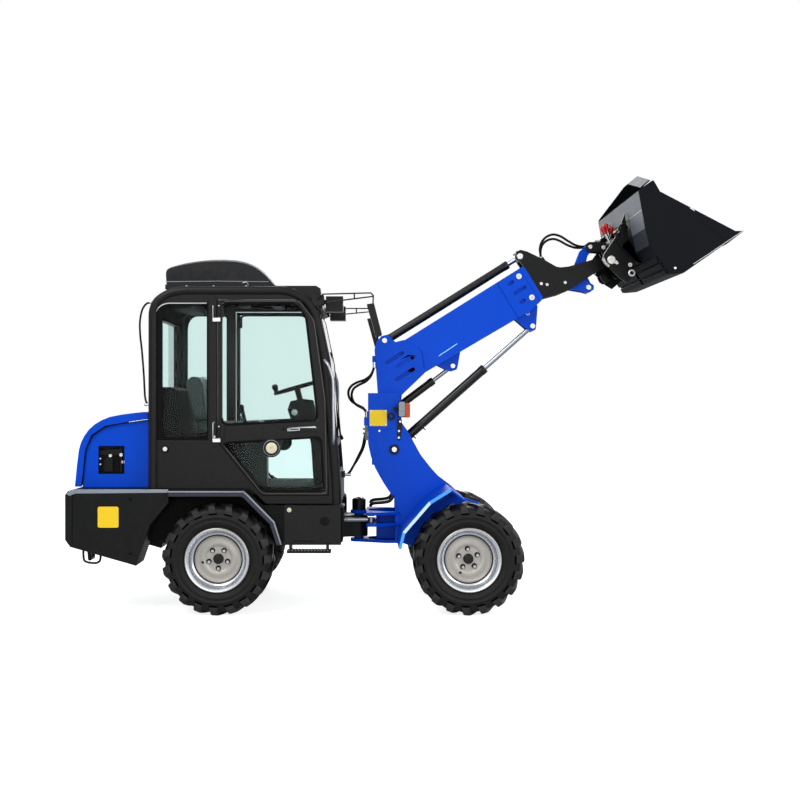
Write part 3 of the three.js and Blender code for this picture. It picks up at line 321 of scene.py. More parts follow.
def bent(tube, ends, name, a, b):
    """The hose is baked where it is built and rides on no body; each end fitting rides on its own body, a or
    b.
    """
    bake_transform(tube)
    piece(name + "_fitting_a", [ends[0]], zinc, a)
    piece(name + "_fitting_b", [ends[1]], zinc, b)


BOOM_TWIN = [(56, 1345.3), (56, 1361), (55, 1378), (43, 1400), (14, 1418), (-18, 1436), (-44, 1470),
      (-52, 1512), (-38, 1552),
             (0, 1580), (48, 1604), (84, 1640), (106, 1692), (112, 1730), (112, 1746)]
NOSE_TWIN = [(1362, 2500.3), (1362, 2518), (1360, 2560), (1362, 2600), (1378, 2640), (1412, 2668),
      (1456, 2678), (1503, 2664),
             (1562, 2632), (1624, 2612), (1690, 2616), (1745, 2636), (1784, 2648), (1800, 2650)]
for label, run, y, node, a, b in (
        ("tower_hose", TOWER_RUN, HOSE_Y, "hose_tower", "rear_body", "front_body"),
        ("tower_twin", [(x - (8 if 1000 < z < 1250 else 0), z) for x, z in TOWER_RUN], -114, None,
        "rear_body", "front_body"),
        ("boom_hose", BOOM_RUN, HOSE_Y, "hose_boom", "front_body", "boom_body"),
        ("boom_twin", BOOM_TWIN, HOSE_TWIN_Y, None, "front_body", "boom_body"),
        ("nose_hose", NOSE_RUN, NOSE_Y, "hose_nose", "inner_boom_body", "tool"),
        ("nose_twin", NOSE_TWIN, NOSE_Y + 22, None, "inner_boom_body", "tool")):
    tube, line, ends = hose(label, run, y, HOSE_R, node)
    bent(tube, ends, label, a, b)
tube, line, ends = hose("rear_cable", REAR_RUN, CABLE_Y, CABLE_R, "hose_cab")
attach(tube, "rear_body")
piece("rear_cable_fittings", ends, zinc, "rear_body")

# ---------------------------------------------------------------- tyres
# Bias-ply industrial tyres of black rubber on a steel bead. Slanted bars, two
# rows half a pitch apart, run over the shoulders; ribs ring the side walls.
TYRE_R, TRACK_HALF = 380.0, 540.0
AXLES = {"rear": -959.0, "front": 756.0}
BARS = 19                       # in each of the two rows of a tread
NUT_AT, VALVE_AT = 67, 110      # from the middle of the wheel
SIDES = (("right", -1), ("left", 1))

tyre_rubber = finish("tyre_rubber", "0a0a0b", 0.5, shine=0.18, grain=160, relief=0.0008, mottle=0.2,
      dust=0.05, earth="6f6a62")
lug_rubber = finish("lug_rubber", "0c0c0e", 0.4, shine=0.32, grain=110, relief=0.001, mottle=0.25, dust=0.05,
      earth="8b8578")
CARCASS = [(199, -70), (199, -106), (204, -117), (216, -122), (226, -119), (230, -121), (236, -126),
      (262, -130.5),
           (266, -128), (284, -129.5), (288, -132), (296, -132), (300, -129.5), (322, -128), (338, -123),
           (350, -112), (358, -96), (361, -60), (362, -25), (362, 0)]


def turned(profile, x, y, z, sides=72):
    """A closed ring: each (radius, offset) of the profile carried round the Y axis through x, z."""
    p = np.array(profile, float)
    a = np.arange(sides) * 2 * math.pi / sides
    v = np.stack([x + p[:, :1] * np.cos(a), y + np.repeat(p[:, 1:], sides, 1), z + p[:, :1] * np.sin(a)], 2)
    return v.reshape(-1, 3), grid(len(p), sides, close=True)


def tread(x, y, z):
    """Bars for both rows. From the side wall to past the middle, a bar's offset falls, its crown
    follows the shoulder, and its angle leans; four corners make its section at each of eight steps."""
    off = np.array([131.5, 131.5, 128.0, 118.0, 98.0, 62.0, 25.0, -12.0])
    top = np.array([334.0, 352.0, 368.0, 376.0, 379.0, 380.0, 380.0, 379.0])
    foot = np.array([320.0, 330.0, 338.0, 346.0, 353.0, 358.0, 360.0, 360.0])
    lean = np.array([0, 0.01, 0.02, 0.04, 0.065, 0.115, 0.165, 0.21])
    wide = np.array([52.0, 50.0, 48.0, 46.0, 44.0, 42.0, 40.0, 36.0])
    bars = []
    for row, start in ((-1, 0.0), (1, 0.5)):
        base = (np.arange(BARS) + start) * 2 * math.pi / BARS
        mid = base[:, None] + lean[None, :]
        foot_half, top_half = wide / 2 / foot * 1.15, wide / 2 / top * 0.82
        ang = np.stack([mid - foot_half, mid - top_half, mid + top_half, mid + foot_half], 2)
        rad = np.stack([foot - 8, top, top, foot - 8], 1)[None]
        v = np.stack([x + rad * np.cos(ang), y + np.broadcast_to(row * off[None, :, None], ang.shape),
                      z + rad * np.sin(ang)], 3)
        n = len(off)
        faces = grid(n, 4) + [[3, 2, 1, 0], [4 * n - 4, 4 * n - 3, 4 * n - 2, 4 * n - 1]]
        every = (np.array(faces)[None] + 4 * n * np.arange(BARS)[:, None, None]).reshape(-1, 4)
        bars.append((v.reshape(-1, 3), every.tolist()))
    return bars


def nut(x, y, z, r, depth, out):
    """A hexagon head on the Y axis: rings of six corners, chamfered at the top."""
    p = np.array([(r, 0), (r, out * depth * 0.8), (r * 0.82, out * depth), (0.01, out * depth)], float)
    a = np.arange(6) * 2 * math.pi / 6 + 0.26
    v = np.stack([x + p[:, :1] * np.cos(a), y + np.repeat(p[:, 1:], 6, 1), z + p[:, :1] * np.sin(a)], 2)
    return v.reshape(-1, 3), grid(len(p), 6) + [list(range(6))]


# ---------------------------------------------------------------- rims
# Pressed steel rims in silver-grey enamel: a deep dish, a rolled flange, five
# wheel nuts, a valve in its hole, and the black hub cap of the drive shaft.
rim_paint = finish("rim_paint", "aaa69f", 0.34, metal=0.35, shine=0.4, grain=120, relief=0.0002, mottle=0.06,
      dust=0.1, earth="7a7060")
cast_black = finish("cast_black", "0a0a0b", 0.5, shine=0.15, grain=90, relief=0.0012, dust=0.03)
hub_black = finish("hub_black", "0c0c0d", 0.45, shine=0.2, dust=0.06)
DISH = [(196, -112), (196, 112), (200, 118), (214, 121), (219, 125), (219, 130), (214, 133), (207, 131),
      (200, 124),
        (195, 117), (189, 108), (187, 92), (183, 74), (178, 70), (168, 68), (161, 62), (158, 50), (150, 42),
        (136, 40),
        (122, 44), (104, 46), (92, 44), (84, 39), (35, 39), (35, 33), (84, 33), (120, 34), (150, 32),
        (172, 40),
        (182, 60), (184, 40), (184, -90), (190, -104), (205, -122), (214, -129), (219, -127), (218, -121),
        (203, -116)]

# the rim's own silver, made brighter and more metallic on the rolled flange as a painted highlight
rim_silver_highlight = finish("rim_silver_highlight", "c9cdd4", 0.26, metal=0.9, shine=0.5, grain=60, relief=0.00002,
      mottle=0.05, dust=0.05)
BARREL = [(168, 68.4), (176.8, 71.2), (181.4, 75), (185.4, 92), (187.4, 108), (193.5, 117.6), (199, 125),
      (206.5, 132.2), (214, 134.2),
          (214, 132), (207, 130), (195.5, 116.5), (189.5, 107), (187.5, 92), (183.5, 74), (178, 69.5),
          (168, 67)]
# a black ring in the crease between the dish and the flange: painted shade
CREASE = [(160.4, 62.4), (163, 66), (167.2, 69.2), (169.4, 69.6), (169, 68), (164, 65), (161.5, 61.5)]

for end, axle_x in AXLES.items():
    for hand, side in SIDES:
        body, y = f"{end}_{hand}_wheel", side * TRACK_HALF
        ring = CARCASS + [(r, -o) for r, o in CARCASS[-2::-1]] + [(190, 60), (190, -60)]
        piece(f"{end}_{hand}_tyre_wall", [turned([(r, side * o) for r, o in ring], axle_x, y, TYRE_R, 96)],
              tyre_rubber, body, (f"{end}_{hand}_tyre",), sharp=40)
        piece(f"{end}_{hand}_tyre_tread", tread(axle_x, y, TYRE_R), lug_rubber, body,
              (f"{end}_{hand}_tyre",), sharp=30)
        turn = -math.pi / 2 if end == "rear" else 1.63
        holes = [(NUT_AT * math.cos(a), NUT_AT * math.sin(a)) for a in turn + np.arange(5) * 2 * math.pi / 5]
        for label, profile, material, stands in (
                ("rim_dish", DISH, rim_paint, (f"{end}_{hand}_rim",)),
                ("rim_barrel", BARREL, rim_silver_highlight, ()), ("rim_crease_shade", CREASE, hub_black, ())):
            piece(f"{end}_{hand}_{label}", [turned([(r, side * o) for r, o in profile], axle_x, y, TYRE_R)],
                  material, body, stands, sharp=28)
        piece(f"{end}_{hand}_wheel_nuts",
              [nut(axle_x + u, y + side * 43, TYRE_R + w, 12, 16, side) for u, w in holes], zinc, body)
        # a black disc behind each nut: painted shade in its recess
        seat = [(r, side * o) for r, o in ((18, 38), (18, 44), (15, 46.5), (0.1, 46.5), (0.1, 38))]
        piece(f"{end}_{hand}_nut_recess_shade", [turned(seat, axle_x + u - 1.5, y, TYRE_R + w + 3, 20) for u,
              w in holes], cast_black, body)
        way = 3.36 if end == "rear" else -2.09
        valve_x, valve_z = axle_x + VALVE_AT * math.cos(way), TYRE_R + VALVE_AT * math.sin(way)
        cap = [(r, side * o) for r, o in ((34, 30), (34, 60), (30, 66), (18, 68), (0.1, 68), (0.1, 30))]
        grommet = [(r, side * o) for r, o in ((9, 46.6), (9, 48), (0.1, 48), (0.1, 46.6))]
        stem = [(valve_x, y + side * q, valve_z) for q in (30, 44, 60, 74)]
        piece(f"{end}_{hand}_hub_cap", [turned(cap, axle_x, y, TYRE_R, 32),
              turned(grommet, valve_x, y, valve_z, 16),
              swept(stem, [4, 4, 3.4, 4], 10, (1, 0, 0))], hub_black, body)

# ---------------------------------------------------------------- axles
# Cast and welded drive axles in black: tubes, a round housing in the middle,
# and wheel hubs behind the rims.


def softened(name, node, material, body, bevel=3.0, sharp=28, steps=2, angle=1.0):
    """The node's own shape with its flat faces joined and its edges rounded."""
    made = bmesh.new()
    made.from_mesh(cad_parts[node].data)
    bmesh.ops.remove_doubles(made, verts=made.verts, dist=1e-5)
    bmesh.ops.dissolve_limit(made, angle_limit=math.radians(angle), verts=made.verts, edges=made.edges,
                             delimit={"NORMAL"})
    bmesh.ops.recalc_face_normals(made, faces=made.faces)
    mesh = bpy.data.meshes.new(name)
    made.to_mesh(mesh)
    made.free()
    mesh.materials.append(material)
    return dress(bpy.data.objects.new(name, mesh), body, (node,), bevel, sharp, steps)


softened("rear_axle_casting", "rear_axle", cast_black, "rear_body", 5, sharp=40)
softened("front_axle_casting", "front_axle", cast_black, "front_body", 5, sharp=40)

# ---------------------------------------------------------------- tower
# Front frame and boom tower: flame-cut steel plates, welded, in blue enamel.
# Ears at the rear take the articulation pin and the steering rams.
blue_enamel = finish("blue_enamel", "0041bb", 0.34, shine=0.09, grain=70, relief=0.00025, mottle=0.09,
      dust=0.006, high=1.4, earth="3f62a8")
black_enamel = finish("black_enamel", "08090a", 0.34, shine=0.16, grain=90, relief=0.0003, mottle=0.14,
      dust=0.012)
# pale blue and near-white: painted highlights along the fenders' folded edge
pale_blue = finish("pale_blue", "3f97f2", 0.3, shine=0.3, grain=70, relief=0.0002, mottle=0.1, dust=0.02)
pale_glint = finish("pale_glint", "bfe0ff", 0.3, shine=0.3, grain=70, relief=0.0002, mottle=0.06, dust=0.02)
# darker blue without sheen: painted shade, laid on the tops of the ears
blue_painted_shade = finish("blue_painted_shade", "00359c", 0.7, shine=0.0, grain=70, relief=0.0002, mottle=0.09, dust=0.0)
yellow_plate = finish("yellow_plate", "e8c21c", 0.45, grain=60, relief=0.0001, mottle=0.04, dust=0.04)
pin_steel = finish("pin_steel", "d9d7d2", 0.34, metal=0.6, grain=200, relief=0.0002, mottle=0.05, dust=0.1)
TOWER_FACE = 150.0
LIFT_BASE, BOOM_PIN = (258, 1112), (234, 1354)      # pins in the side view

softened("front_frame_plates", "front_frame", blue_enamel, "front_body", 2.5, sharp=25)


def plate(outline, y0, y1, holes=()):
    """A flat plate square to Y: the outline and its holes cut into triangles on both faces, with
    walls between them."""
    loops = [np.array(l, float) for l in (outline, *holes)]
    flat = np.concatenate(loops)
    cut = tessellate_polygon([[(x, z, 0) for x, z in l] for l in loops])
    n, faces, base = len(flat), [], 0
    for a, b, c in cut:
        faces += [[a, b, c], [a + n, c + n, b + n]]
    for l in loops:
        k = len(l)
        faces += [[base + i, base + (i + 1) % k, n + base + (i + 1) % k, n + base + i] for i in range(k)]
        base += k
    v = np.concatenate([np.stack([flat[:, 0], np.full(n, y), flat[:, 1]], 1) for y in (y0, y1)])
    return v, faces


def round_hole(x, z, r, n=20):
    """Corners of a round hole in the side view."""
    a = np.arange(n) * 2 * math.pi / n
    return np.stack([x + r * np.cos(a), z + r * np.sin(a)], 1)


def pin_cap(x, z, r, y, depth, side):
    """Head of a pin: a chamfered disc with a turned groove, from face y outwards."""
    return turned([(r, y), (r, y + side * depth * 0.75), (r * 0.86, y + side * depth),
            (r * 0.5, y + side * depth),
                   (r * 0.46, y + side * depth * 0.8), (r * 0.1, y + side * depth * 0.8), (0.1, y)], x, 0, z,
                   28)


for hand, side in SIDES:
    face = side * TOWER_FACE
    piece(f"tower_boss_{hand}", [
        turned([(36, face - side * 6), (36, face + side * 10), (33, face + side * 13),
        (23, face + side * 13),
                (22, face + side * 9), (22, face - side * 6)], LIFT_BASE[0], 0, LIFT_BASE[1], 36),
        turned([(27, face - side * 4), (27, face + side * 9), (24, face + side * 11), (11, face + side * 11),
                (10, face + side * 3), (0.1, face + side * 3), (0.1, face - side * 4)], BOOM_PIN[0], 0,
                BOOM_PIN[1], 36)],
        black_enamel, "front_body")
    piece(f"tower_pin_{hand}", [pin_cap(*LIFT_BASE, 20, face, 11, side),
          pin_cap(150, 1246, 8, face, 3, side),
          pin_cap(*BOOM_PIN, 9, face, 8, side)], pin_steel, "front_body")
    arm = [(277, 1328), (313, 1328), (311, 1262), (300, 1180), (280, 1180), (279, 1262)]
    piece(f"tower_bracket_{hand}", [plate(arm, face, face + side * 8)], black_enamel, "front_body",
          bevel=1.5)
    piece(f"tower_bolts_{hand}", [nut(x, face + side * 8, z, 10, 9, side) for x, z in
          ((300, 1314), (291, 1246), (290, 1198))] + [nut(x, face, z, 7, 4, side) for x, z in
          ((86, 1390), (197, 1390), (86, 1290), (197, 1290))], zinc, "front_body")
    piece(f"tower_plate_{hand}", [plate([(78, 1282), (204, 1282), (204, 1398), (78, 1398)], face, face
          + side * 2)],
          yellow_plate, "front_body", bevel=0.8)
    # weld beads: where the fender, the ears and the cross plates meet the tower
    piece(f"tower_weld_{hand}", [swept(smooth([(x, face, z) for x, z in run], 5), 3.2, 8) for run in
          (((154, 1240), (205, 1256), (252, 1268)), ((268, 700), (278, 706), (284, 664)),
           ((300, 562), (420, 562), (520, 561)))], blue_enamel, "front_body")

# fittings of the hose manifold behind the tower: a plated block and elbows
piece("tower_manifold", [plate([(46, 1178), (66, 1178), (66, 1280), (46, 1280)], -142, -106)]
      + [swept([(x, -124, z) for x in (30, 47, 60)], [7, 9, 9], 6, (0, 1, 0)) for z in (1196, 1228, 1260)]
      + [swept([(x, -124, z) for x in (56, 80)], [6, 6], 10, (0, 1, 0)) for z in (1200, 1250)],
      finish("manifold_grey", "5d665f", 0.5, metal=0.5, dust=0.2), "front_body", bevel=1.5)

# articulation pin: a black boss on the upper ear, a cap with a grease nipple, and a pipe along each ear


def upright(parts):
    """Parts made along the Y axis, turned so that they stand along Z."""
    return [(np.array(v)[:, [0, 2, 1]], f) for v, f in parts]


piece("articulation_boss", upright([turned([(40, 664), (50.5, 664), (50.5, 738), (47, 742), (40, 742)], 0, 0,
      0, 36)]), black_enamel, "front_body")
ear_top = [(72, -60), (205, -146), (286, -146), (286, 146), (205, 146), (72, 60)]
# a thin sheet of darker matte blue on each ear top is painted shade
piece("ear_tops", upright([plate(ear_top, z, z + 1.6) for z in (454.2, 662.2)]), blue_painted_shade, "front_body")
piece("ear_pipes", [swept(smooth([(84, s * 128, 700), (92, s * 136, 714), (112, s * 144, 722),
      (180, s * 148, 728), (222, s * 148, 738),
      (240, s * 146, 756), (252, s * 140, 782)], 5), 12, 12) for s in (-1, 1)], black_enamel, "front_body")
nipple_cap = [(46, 734), (46, 742), (40, 746), (14, 746), (12, 752), (5, 756), (0.1, 756), (0.1, 734)]
piece("articulation_cap", upright([turned(nipple_cap, 0, 0, 0, 36)]), black_enamel, "front_body")
piece("articulation_bolts",
      upright([nut(30 * math.cos(a), 746, 30 * math.sin(a), 7, 5, 1) for a in np.arange(4) * math.pi / 2
      + 0.4]), cast_black, "front_body")

# ---------------------------------------------------------------- fenders
# Front fenders: sheet steel folded in four flats and welded to the tower, in
# the same blue enamel, with a painted highlight in pale blue and near-white along the folded edge.
for hand, side in SIDES:
    softened(f"fender_{hand}", f"front_fender_{hand}", blue_enamel, "front_body", 2.0,
          sharp=40)
    facets = [(275, 457), (303, 568), (483, 776), (629, 866), (733, 790)]
    bands = []
    for (x0, z0), (x1, z1) in zip(facets[:3], facets[1:4]):
        k = 20 / math.hypot(x1 - x0, z1 - z0)
        u, w = (z1 - z0) * k, (x0 - x1) * k
        bands.append(plate([(x0, z0 + 1.4), (x1, z1 + 1.4), (x1 + u, z1 + w), (x0 + u, z0 + w)], side * 652,
              side * 640))
    # bands of painted highlight on the folded edge: pale blue on the outer flats, near-white on the middle
    # one
    piece(f"fender_edge_highlight_{hand}", bands[::2], pale_blue, "front_body", bevel=2)
    piece(f"fender_glint_{hand}", bands[1:2], pale_glint, "front_body", bevel=2)

# ---------------------------------------------------------------- front lamps
# Work and signal lamps: black housings with a clear lens in front and a ribbed
# amber lens on the outer edge, on a bracket from the tower.
lens_clear = finish("lens_clear", "7b8188", 0.14, shine=0.4, grain=40, relief=0.0004, mottle=0.1, dust=0.05)
lens_amber = finish("lens_amber", "b5370c", 0.18, shine=0.3, grain=60, relief=0.0004, mottle=0.1, dust=0.03)
lamp_black = finish("lamp_black", "0b0c0d", 0.5, shine=0.15, grain=300, relief=0.0003, dust=0.1)


def rounded(x0, x1, z0, z1, r, n=5):
    """Corners of a rectangle, each replaced by n points of a quarter circle."""
    a = np.linspace(0, math.pi / 2, n)
    out = [(cx + r * np.cos(a + q * math.pi / 2), cz + r * np.sin(a + q * math.pi / 2)) for q, (cx, cz) in
           enumerate(((x1 - r, z1 - r), (x0 + r, z1 - r), (x0 + r, z0 + r), (x1 - r, z0 + r)))]
    return np.concatenate([np.stack(o, 1) for o in out])


for hand, side in SIDES:
    y0, y1 = side * 200.0, side * 262.0
    piece(f"lamp_housing_{hand}", [plate(rounded(282, 352, 1346, 1463, 14), y0, y1),
          plate([(252, 1396), (296, 1396), (296, 1420), (252, 1420)], side * 150.5, side * 206.0)],
          lamp_black, "front_body", (f"front_lamp_{hand}",), bevel=3)
    piece(f"lamp_clear_{hand}", [plate(rounded(288, 332, 1352, 1457, 10), y1 - side, y1 + side * 4),
          plate(rounded(288, 332, 1392, 1418, 8), y1 + side * 3, y1 + side * 7)], lens_clear, "front_body",
          bevel=2)
    piece(f"lamp_amber_{hand}", [plate(rounded(334, 368, 1344, 1449, 12), y0 - side * 6, y1 + side * 7)]
          + [plate(rounded(337, 365, z, z + 4, 1.5), y1, y1 + side * 9)
          for z in np.arange(1356, 1440, 11.0)], lens_amber, "front_body", bevel=2.5)

# ---------------------------------------------------------------- boom
# Outer boom: a welded box of steel plate with slotted cheeks at the pivot and
# a slotted collar at the front, in blue enamel. Its pins have plated heads.
BOOM_TILT = math.radians(32)
LIFT_HEAD, LEVEL_HEAD, RAM_FOOT = (1273, 2013), (689, 1721), (251.6, 490)


def boom(points):
    """Distance along the boom and square to it, from its pivot, to the side view."""
    p = np.atleast_2d(np.array(points, float))
    c, s = math.cos(BOOM_TILT), math.sin(BOOM_TILT)
    return np.stack([BOOM_PIN[0] + p[:, 0] * c - p[:, 1] * s, BOOM_PIN[1] + p[:, 0] * s + p[:, 1] * c], 1)


def slot_hole(p0, p1, q, r=13.5, n=9):
    """A slot with round ends along the boom."""
    a = np.linspace(math.pi / 2, 3 * math.pi / 2, n)
    left = np.stack([p0 + r * np.cos(a), q + r * np.sin(a)], 1)
    right = np.stack([p1 - r * np.cos(a), q - r * np.sin(a)], 1)
    return boom(np.concatenate([left, right]))


BASE_SLOTS = [slot_hole(184, 312, 345), slot_hole(232, 366, 278), slot_hole(180, 318, 203)]
COLLAR_SLOTS = [slot_hole(1240, 1266, 358, 13), slot_hole(1242, 1322, 278, 13),
      slot_hole(1244, 1268, 200, 13)]
CHEEK = [(-50, -16), (-44, 40), (5, 185), (160, 480), (200, 515), (250, 530), (296, 515), (312, 440),
      (378, 418),
         (439, 289), (376, 136), (360, 132), (150, 88), (60, -18), (38, -44), (0, -54), (-36, -42)]
WEB = [(345, 138), (1178, 114), (1259, 106), (1390, 136), (1396, 407), (1374, 416), (345, 416)]
COLLAR = [(1172, 410), (1386, 415), (1397, 400), (1396, 150), (1386, 136), (1259, 108), (1166, 116)]
pivot_hole = round_hole(*BOOM_PIN, 27, 28)
sides = []
for side in (-1, 1):
    sides += [plate(boom(WEB), side * 110, side * 98, COLLAR_SLOTS + BASE_SLOTS[1:2]),
              plate(boom(CHEEK), side * 122, side * 102.5, BASE_SLOTS + [pivot_hole]),
              plate(boom(COLLAR), side * 118, side * 109, COLLAR_SLOTS),
              plate(boom([(1364, 414), (1387, 415), (1398, 400), (1397, 150), (1387, 137), (1364, 131)]),
                    side * 123, side * 117)]
LIFT_EAR = [(1150, 125), (1170, 60), (1186, 10), (1206, -24), (1236, -26), (1254, -6), (1340, 112),
      (1340, 130)]
LEVEL_EAR = [(480, 142), (526, 66), (556, 40), (590, 32), (612, 50), (694, 142)]
for side in (-1, 1):
    sides += [plate(boom(LIFT_EAR), side * 58, side * 40), plate(boom(LEVEL_EAR), side * 52, side * 36)]
sides += [plate(boom([(345, 404), (1374, 404), (1374, 415.5), (345, 415.5)]), -98, 98),
          plate(boom([(345, 138), (1178, 115), (1259, 107), (1389, 137), (1389, 150), (345, 150)]), -98, 98),
          plate(boom([(60, 250), (72, 244), (180, 420), (168, 428)]), -104, 104),
          plate(boom([(356, 152), (1386, 152), (1386, 402), (356, 402)]), -98.5, -96.5),
          plate(boom([(356, 152), (1386, 152), (1386, 402), (356, 402)]), 96.5, 98.5),
          plate(boom([(166, 180), (356, 180), (356, 380), (166, 380)]), -99, -92),
          plate(boom([(166, 180), (356, 180), (356, 380), (166, 380)]), 92, 99),
          plate([(98, 1746.3), (154, 1746.3), (154, 1792), (98, 1792)], -108, -66)]
piece("boom_box", sides, blue_enamel, "boom_body", ("boom",), bevel=2.2, sharp=25)

ribs, caps, pale, pegs = [], [], [], []
for side in (-1, 1):
    y = side * 122.0
    crest = zip(boom([(141, 240), (178, 100), (40, 176), (112, 152)]), (0, 0, 0, 4.5))
    v = np.array([(x, y + side * rise, z) for (x, z), rise in crest])
    ribs.append((v, [[0, 1, 3], [0, 3, 2], [1, 2, 3], [0, 2, 1]]))
    ribs += [swept(smooth([(x, side * 111, z) for x, z in boom(run)], 6), 3, 8) for run in
             (((376, 414), (436, 300), (441, 280), (378, 140)), ((1170, 408), (1168, 260), (1165, 120)))]
    pale.append(plate(boom([(527, 183), (689, 188), (689, 194), (527, 189)]), y - side * 13, y - side * 8.5))
    for x, z in boom([(1328, 368), (1327, 188)]):
        caps.append(pin_cap(x, z, 21, side * 117, 11, side))
        pegs.append(nut(x, side * 128, z, 9, 5, side))
    for (x, z), r, at in ((boom(RAM_FOOT)[0], 19, 122), (LIFT_HEAD, 19, 64), (LEVEL_HEAD, 18, 57)):
        caps.append(pin_cap(x, z, r, side * at, 9, side))
    caps.append(swept(smooth([(x, side * 61, z) for x, z in boom([(1243, 118), (1238, 104), (1250, 94),
          (1262, 102)])], 3), 4, 8))
bars = [swept([(x, s * h, z) for s in (-1, 1)], r, 24, (0, 0, 1)) for (x, z), h, r in
        ((LIFT_HEAD, 64, 19), (LEVEL_HEAD, 57, 13.5), (tuple(boom(RAM_FOOT)[0]), 122, 19))]
piece("boom_welds", ribs, blue_enamel, "boom_body")
piece("boom_pin_caps", caps + bars, pin_steel, "boom_body")
piece("boom_cap_nuts", pegs, zinc, "boom_body")
piece("boom_trim_strip", pale, finish("pale_blue_trim", "8fd0ff", 0.3, coat=0.4, dust=0.02), "boom_body",
      bevel=1)

# ---------------------------------------------------------------- telescope
# Inner boom: a black box section that slides in the outer boom and carries
# the gooseneck plates of the nose. Its lift and level eyes take plated pins.
softened("inner_boom_plates", "inner_boom", black_enamel, "inner_boom_body", 2.5, sharp=25)
TOOL_PIN, ROCKER_PIN = (1836, 2497), (1685, 2297)
NOSE_BOLTS = [(1333, 2321), (1376, 2314), (1509, 2329)]
heads, dark = [], []
for side in (-1, 1):
    x, z = boom([(1419, 489)])[0]
    heads += [pin_cap(x, z, 22, side * 83, 10, side), pin_cap(*TOOL_PIN, 20, side * 84, 8, side),
              pin_cap(*NOSE_BOLTS[0], 12, side * 83, 9, side)]
    heads.append(pin_cap(*ROCKER_PIN, 19, side * 57, 9, side))
    dark += [nut(bx, side * 83, bz, 13, 8, side) for bx, bz in NOSE_BOLTS[1:]]
piece("nose_pin_caps", heads, pin_steel, "inner_boom_body")
piece("nose_bolts", dark, zinc, "inner_boom_body")
piece("nose_blue_lug", [plate([(1456, 2326), (1478, 2296), (1650, 2268), (1685, 2258), (1722, 2280),
      (1724, 2310),
      (1640, 2372)], side * 61.5, side * 39, [round_hole(*ROCKER_PIN, 21)]) for side in (-1, 1)],
      blue_enamel,
      "inner_boom_body", bevel=2)

# ---------------------------------------------------------------- cylinders
# Hydraulic rams: honed barrels in black enamel with a screwed gland, a welded
# base eye and oil ports, and hard-chromed rods.
ram_black = finish("ram_black", "08090b", 0.26, shine=0.3, grain=60, relief=0.0002, mottle=0.1, dust=0.012)
chrome = finish("hard_chrome", "8d9297", 0.22, metal=1.0, grain=400, relief=0.00005, mottle=0.03, dust=0.03)


def between(a, b, share):
    """The point at that share of the way from a to b."""
    return np.array(a, float) + (np.array(b, float) - np.array(a, float)) * share


def ram(name, a, b, share, r, bodies, nodes, across=(0, 1, 0), ends=True):
    """Barrel, rod and eyes as built, with a low collar at the gland and a weld ring at the base."""
    a, b = np.array(a, float), np.array(b, float)
    softened(f"{name}_barrel_tube", nodes[0], ram_black, bodies[0], 1.5, sharp=40)
    softened(f"{name}_rod_bar", nodes[1], chrome, bodies[1], 1.5, sharp=40)
    long = np.linalg.norm(b - a)
    at = [between(a, b, share - k / long) for k in (40, 38, 8, 0, 0, 9)]
    parts = [swept(at, [r + 0.4, r + 2, r + 2, r - 1, r * 0.7, r * 0.62], 24, across)]
    base = [between(a, b, k / long) for k in (48, 52, 58, 62)]
    parts.append(swept(base, [r * 0.9, r + 2, r + 2, r + 0.4], 24, across))
    piece(f"{name}_gland", parts, ram_black, bodies[0])
    if ends:
        side = np.cross((b - a) / long, across)
        side = side if side[2] < 0 else -side
        tips = []
        for k in (0.13, 0.2):
            s = between(a, b, k) + side * (r - 3)
            tips.append(swept([s, s + side * 12, s + side * 12.1, s + side * 22], [12, 12, 9, 9], 8, across))
        piece(f"{name}_ports", tips, zinc, bodies[0])


ram("lift", (258, 0, 1112), (1273, 0, 2013), 0.66, 34, ("lift_barrel_body", "lift_rod_body"),
      ("lift_barrel", "lift_rod"))
ram("level", (190, 0, 1345), (689, 0, 1721), 0.72, 28, ("level_barrel_body", "level_rod_body"),
    ("level_barrel", "level_rod"), ends=False)
ta, tb = boom([(251.6, 490), (1421, 490)])
ram("telescope", (ta[0], 0, ta[1]), (tb[0], 0, tb[1]), 0.918, 30, ("boom_body", "inner_boom_body"),
    ("telescope_barrel", "telescope_rod"), ends=False)
for hand, side in SIDES:
    ram(f"steer_{hand}", (-480, side * 230, 609), (90, side * 205, 609), 0.585, 27,
        (f"steer_barrel_{hand}_body", f"steer_rod_{hand}_body"),
        (f"steer_barrel_{hand}", f"steer_rod_{hand}"), (0, 0, 1), ends=False)

# ---------------------------------------------------------------- cab frame
# Cab side frames: bent oval steel tube round the outside, with flat sheet,
# a middle post and black rubber trim inside it, in satin black enamel.
CAB_Y = 560.0
cap_cream = finish("cap_cream", "d8d6cc", 0.4, grain=90, relief=0.0002, dust=0.1)
cab_black = finish("cab_black", "0d0d0e", 0.38, shine=0.17, grain=110, relief=0.0003, mottle=0.14, dust=0.02)
seal_rubber = finish("seal_rubber", "050506", 0.6, shine=0.08, grain=500, relief=0.0002, dust=0.01)
# bright metal: real trim, and also painted highlight lines on the cab window, the seat back and the hood
bright_trim_and_highlight = finish("bright_trim_and_highlight", "a9acb0", 0.3, metal=0.8, grain=300, relief=0.0001, mottle=0.05,
      dust=0.05)
glass = finish("teal_glass", "e6f4f2", 0.0, shine=0.5, grain=20, relief=0.0, mottle=0.005, dust=0.0,
               clear=1.0)
TUBE = [(-1418, 850), (-1418, 2084), (-1393, 2150), (-1316, 2204), (-1222, 2225), (-478, 2225), (-352, 2156),
        (-294, 2062), (-229, 1740), (-180, 1196), (-153, 850), (-153, 747)]


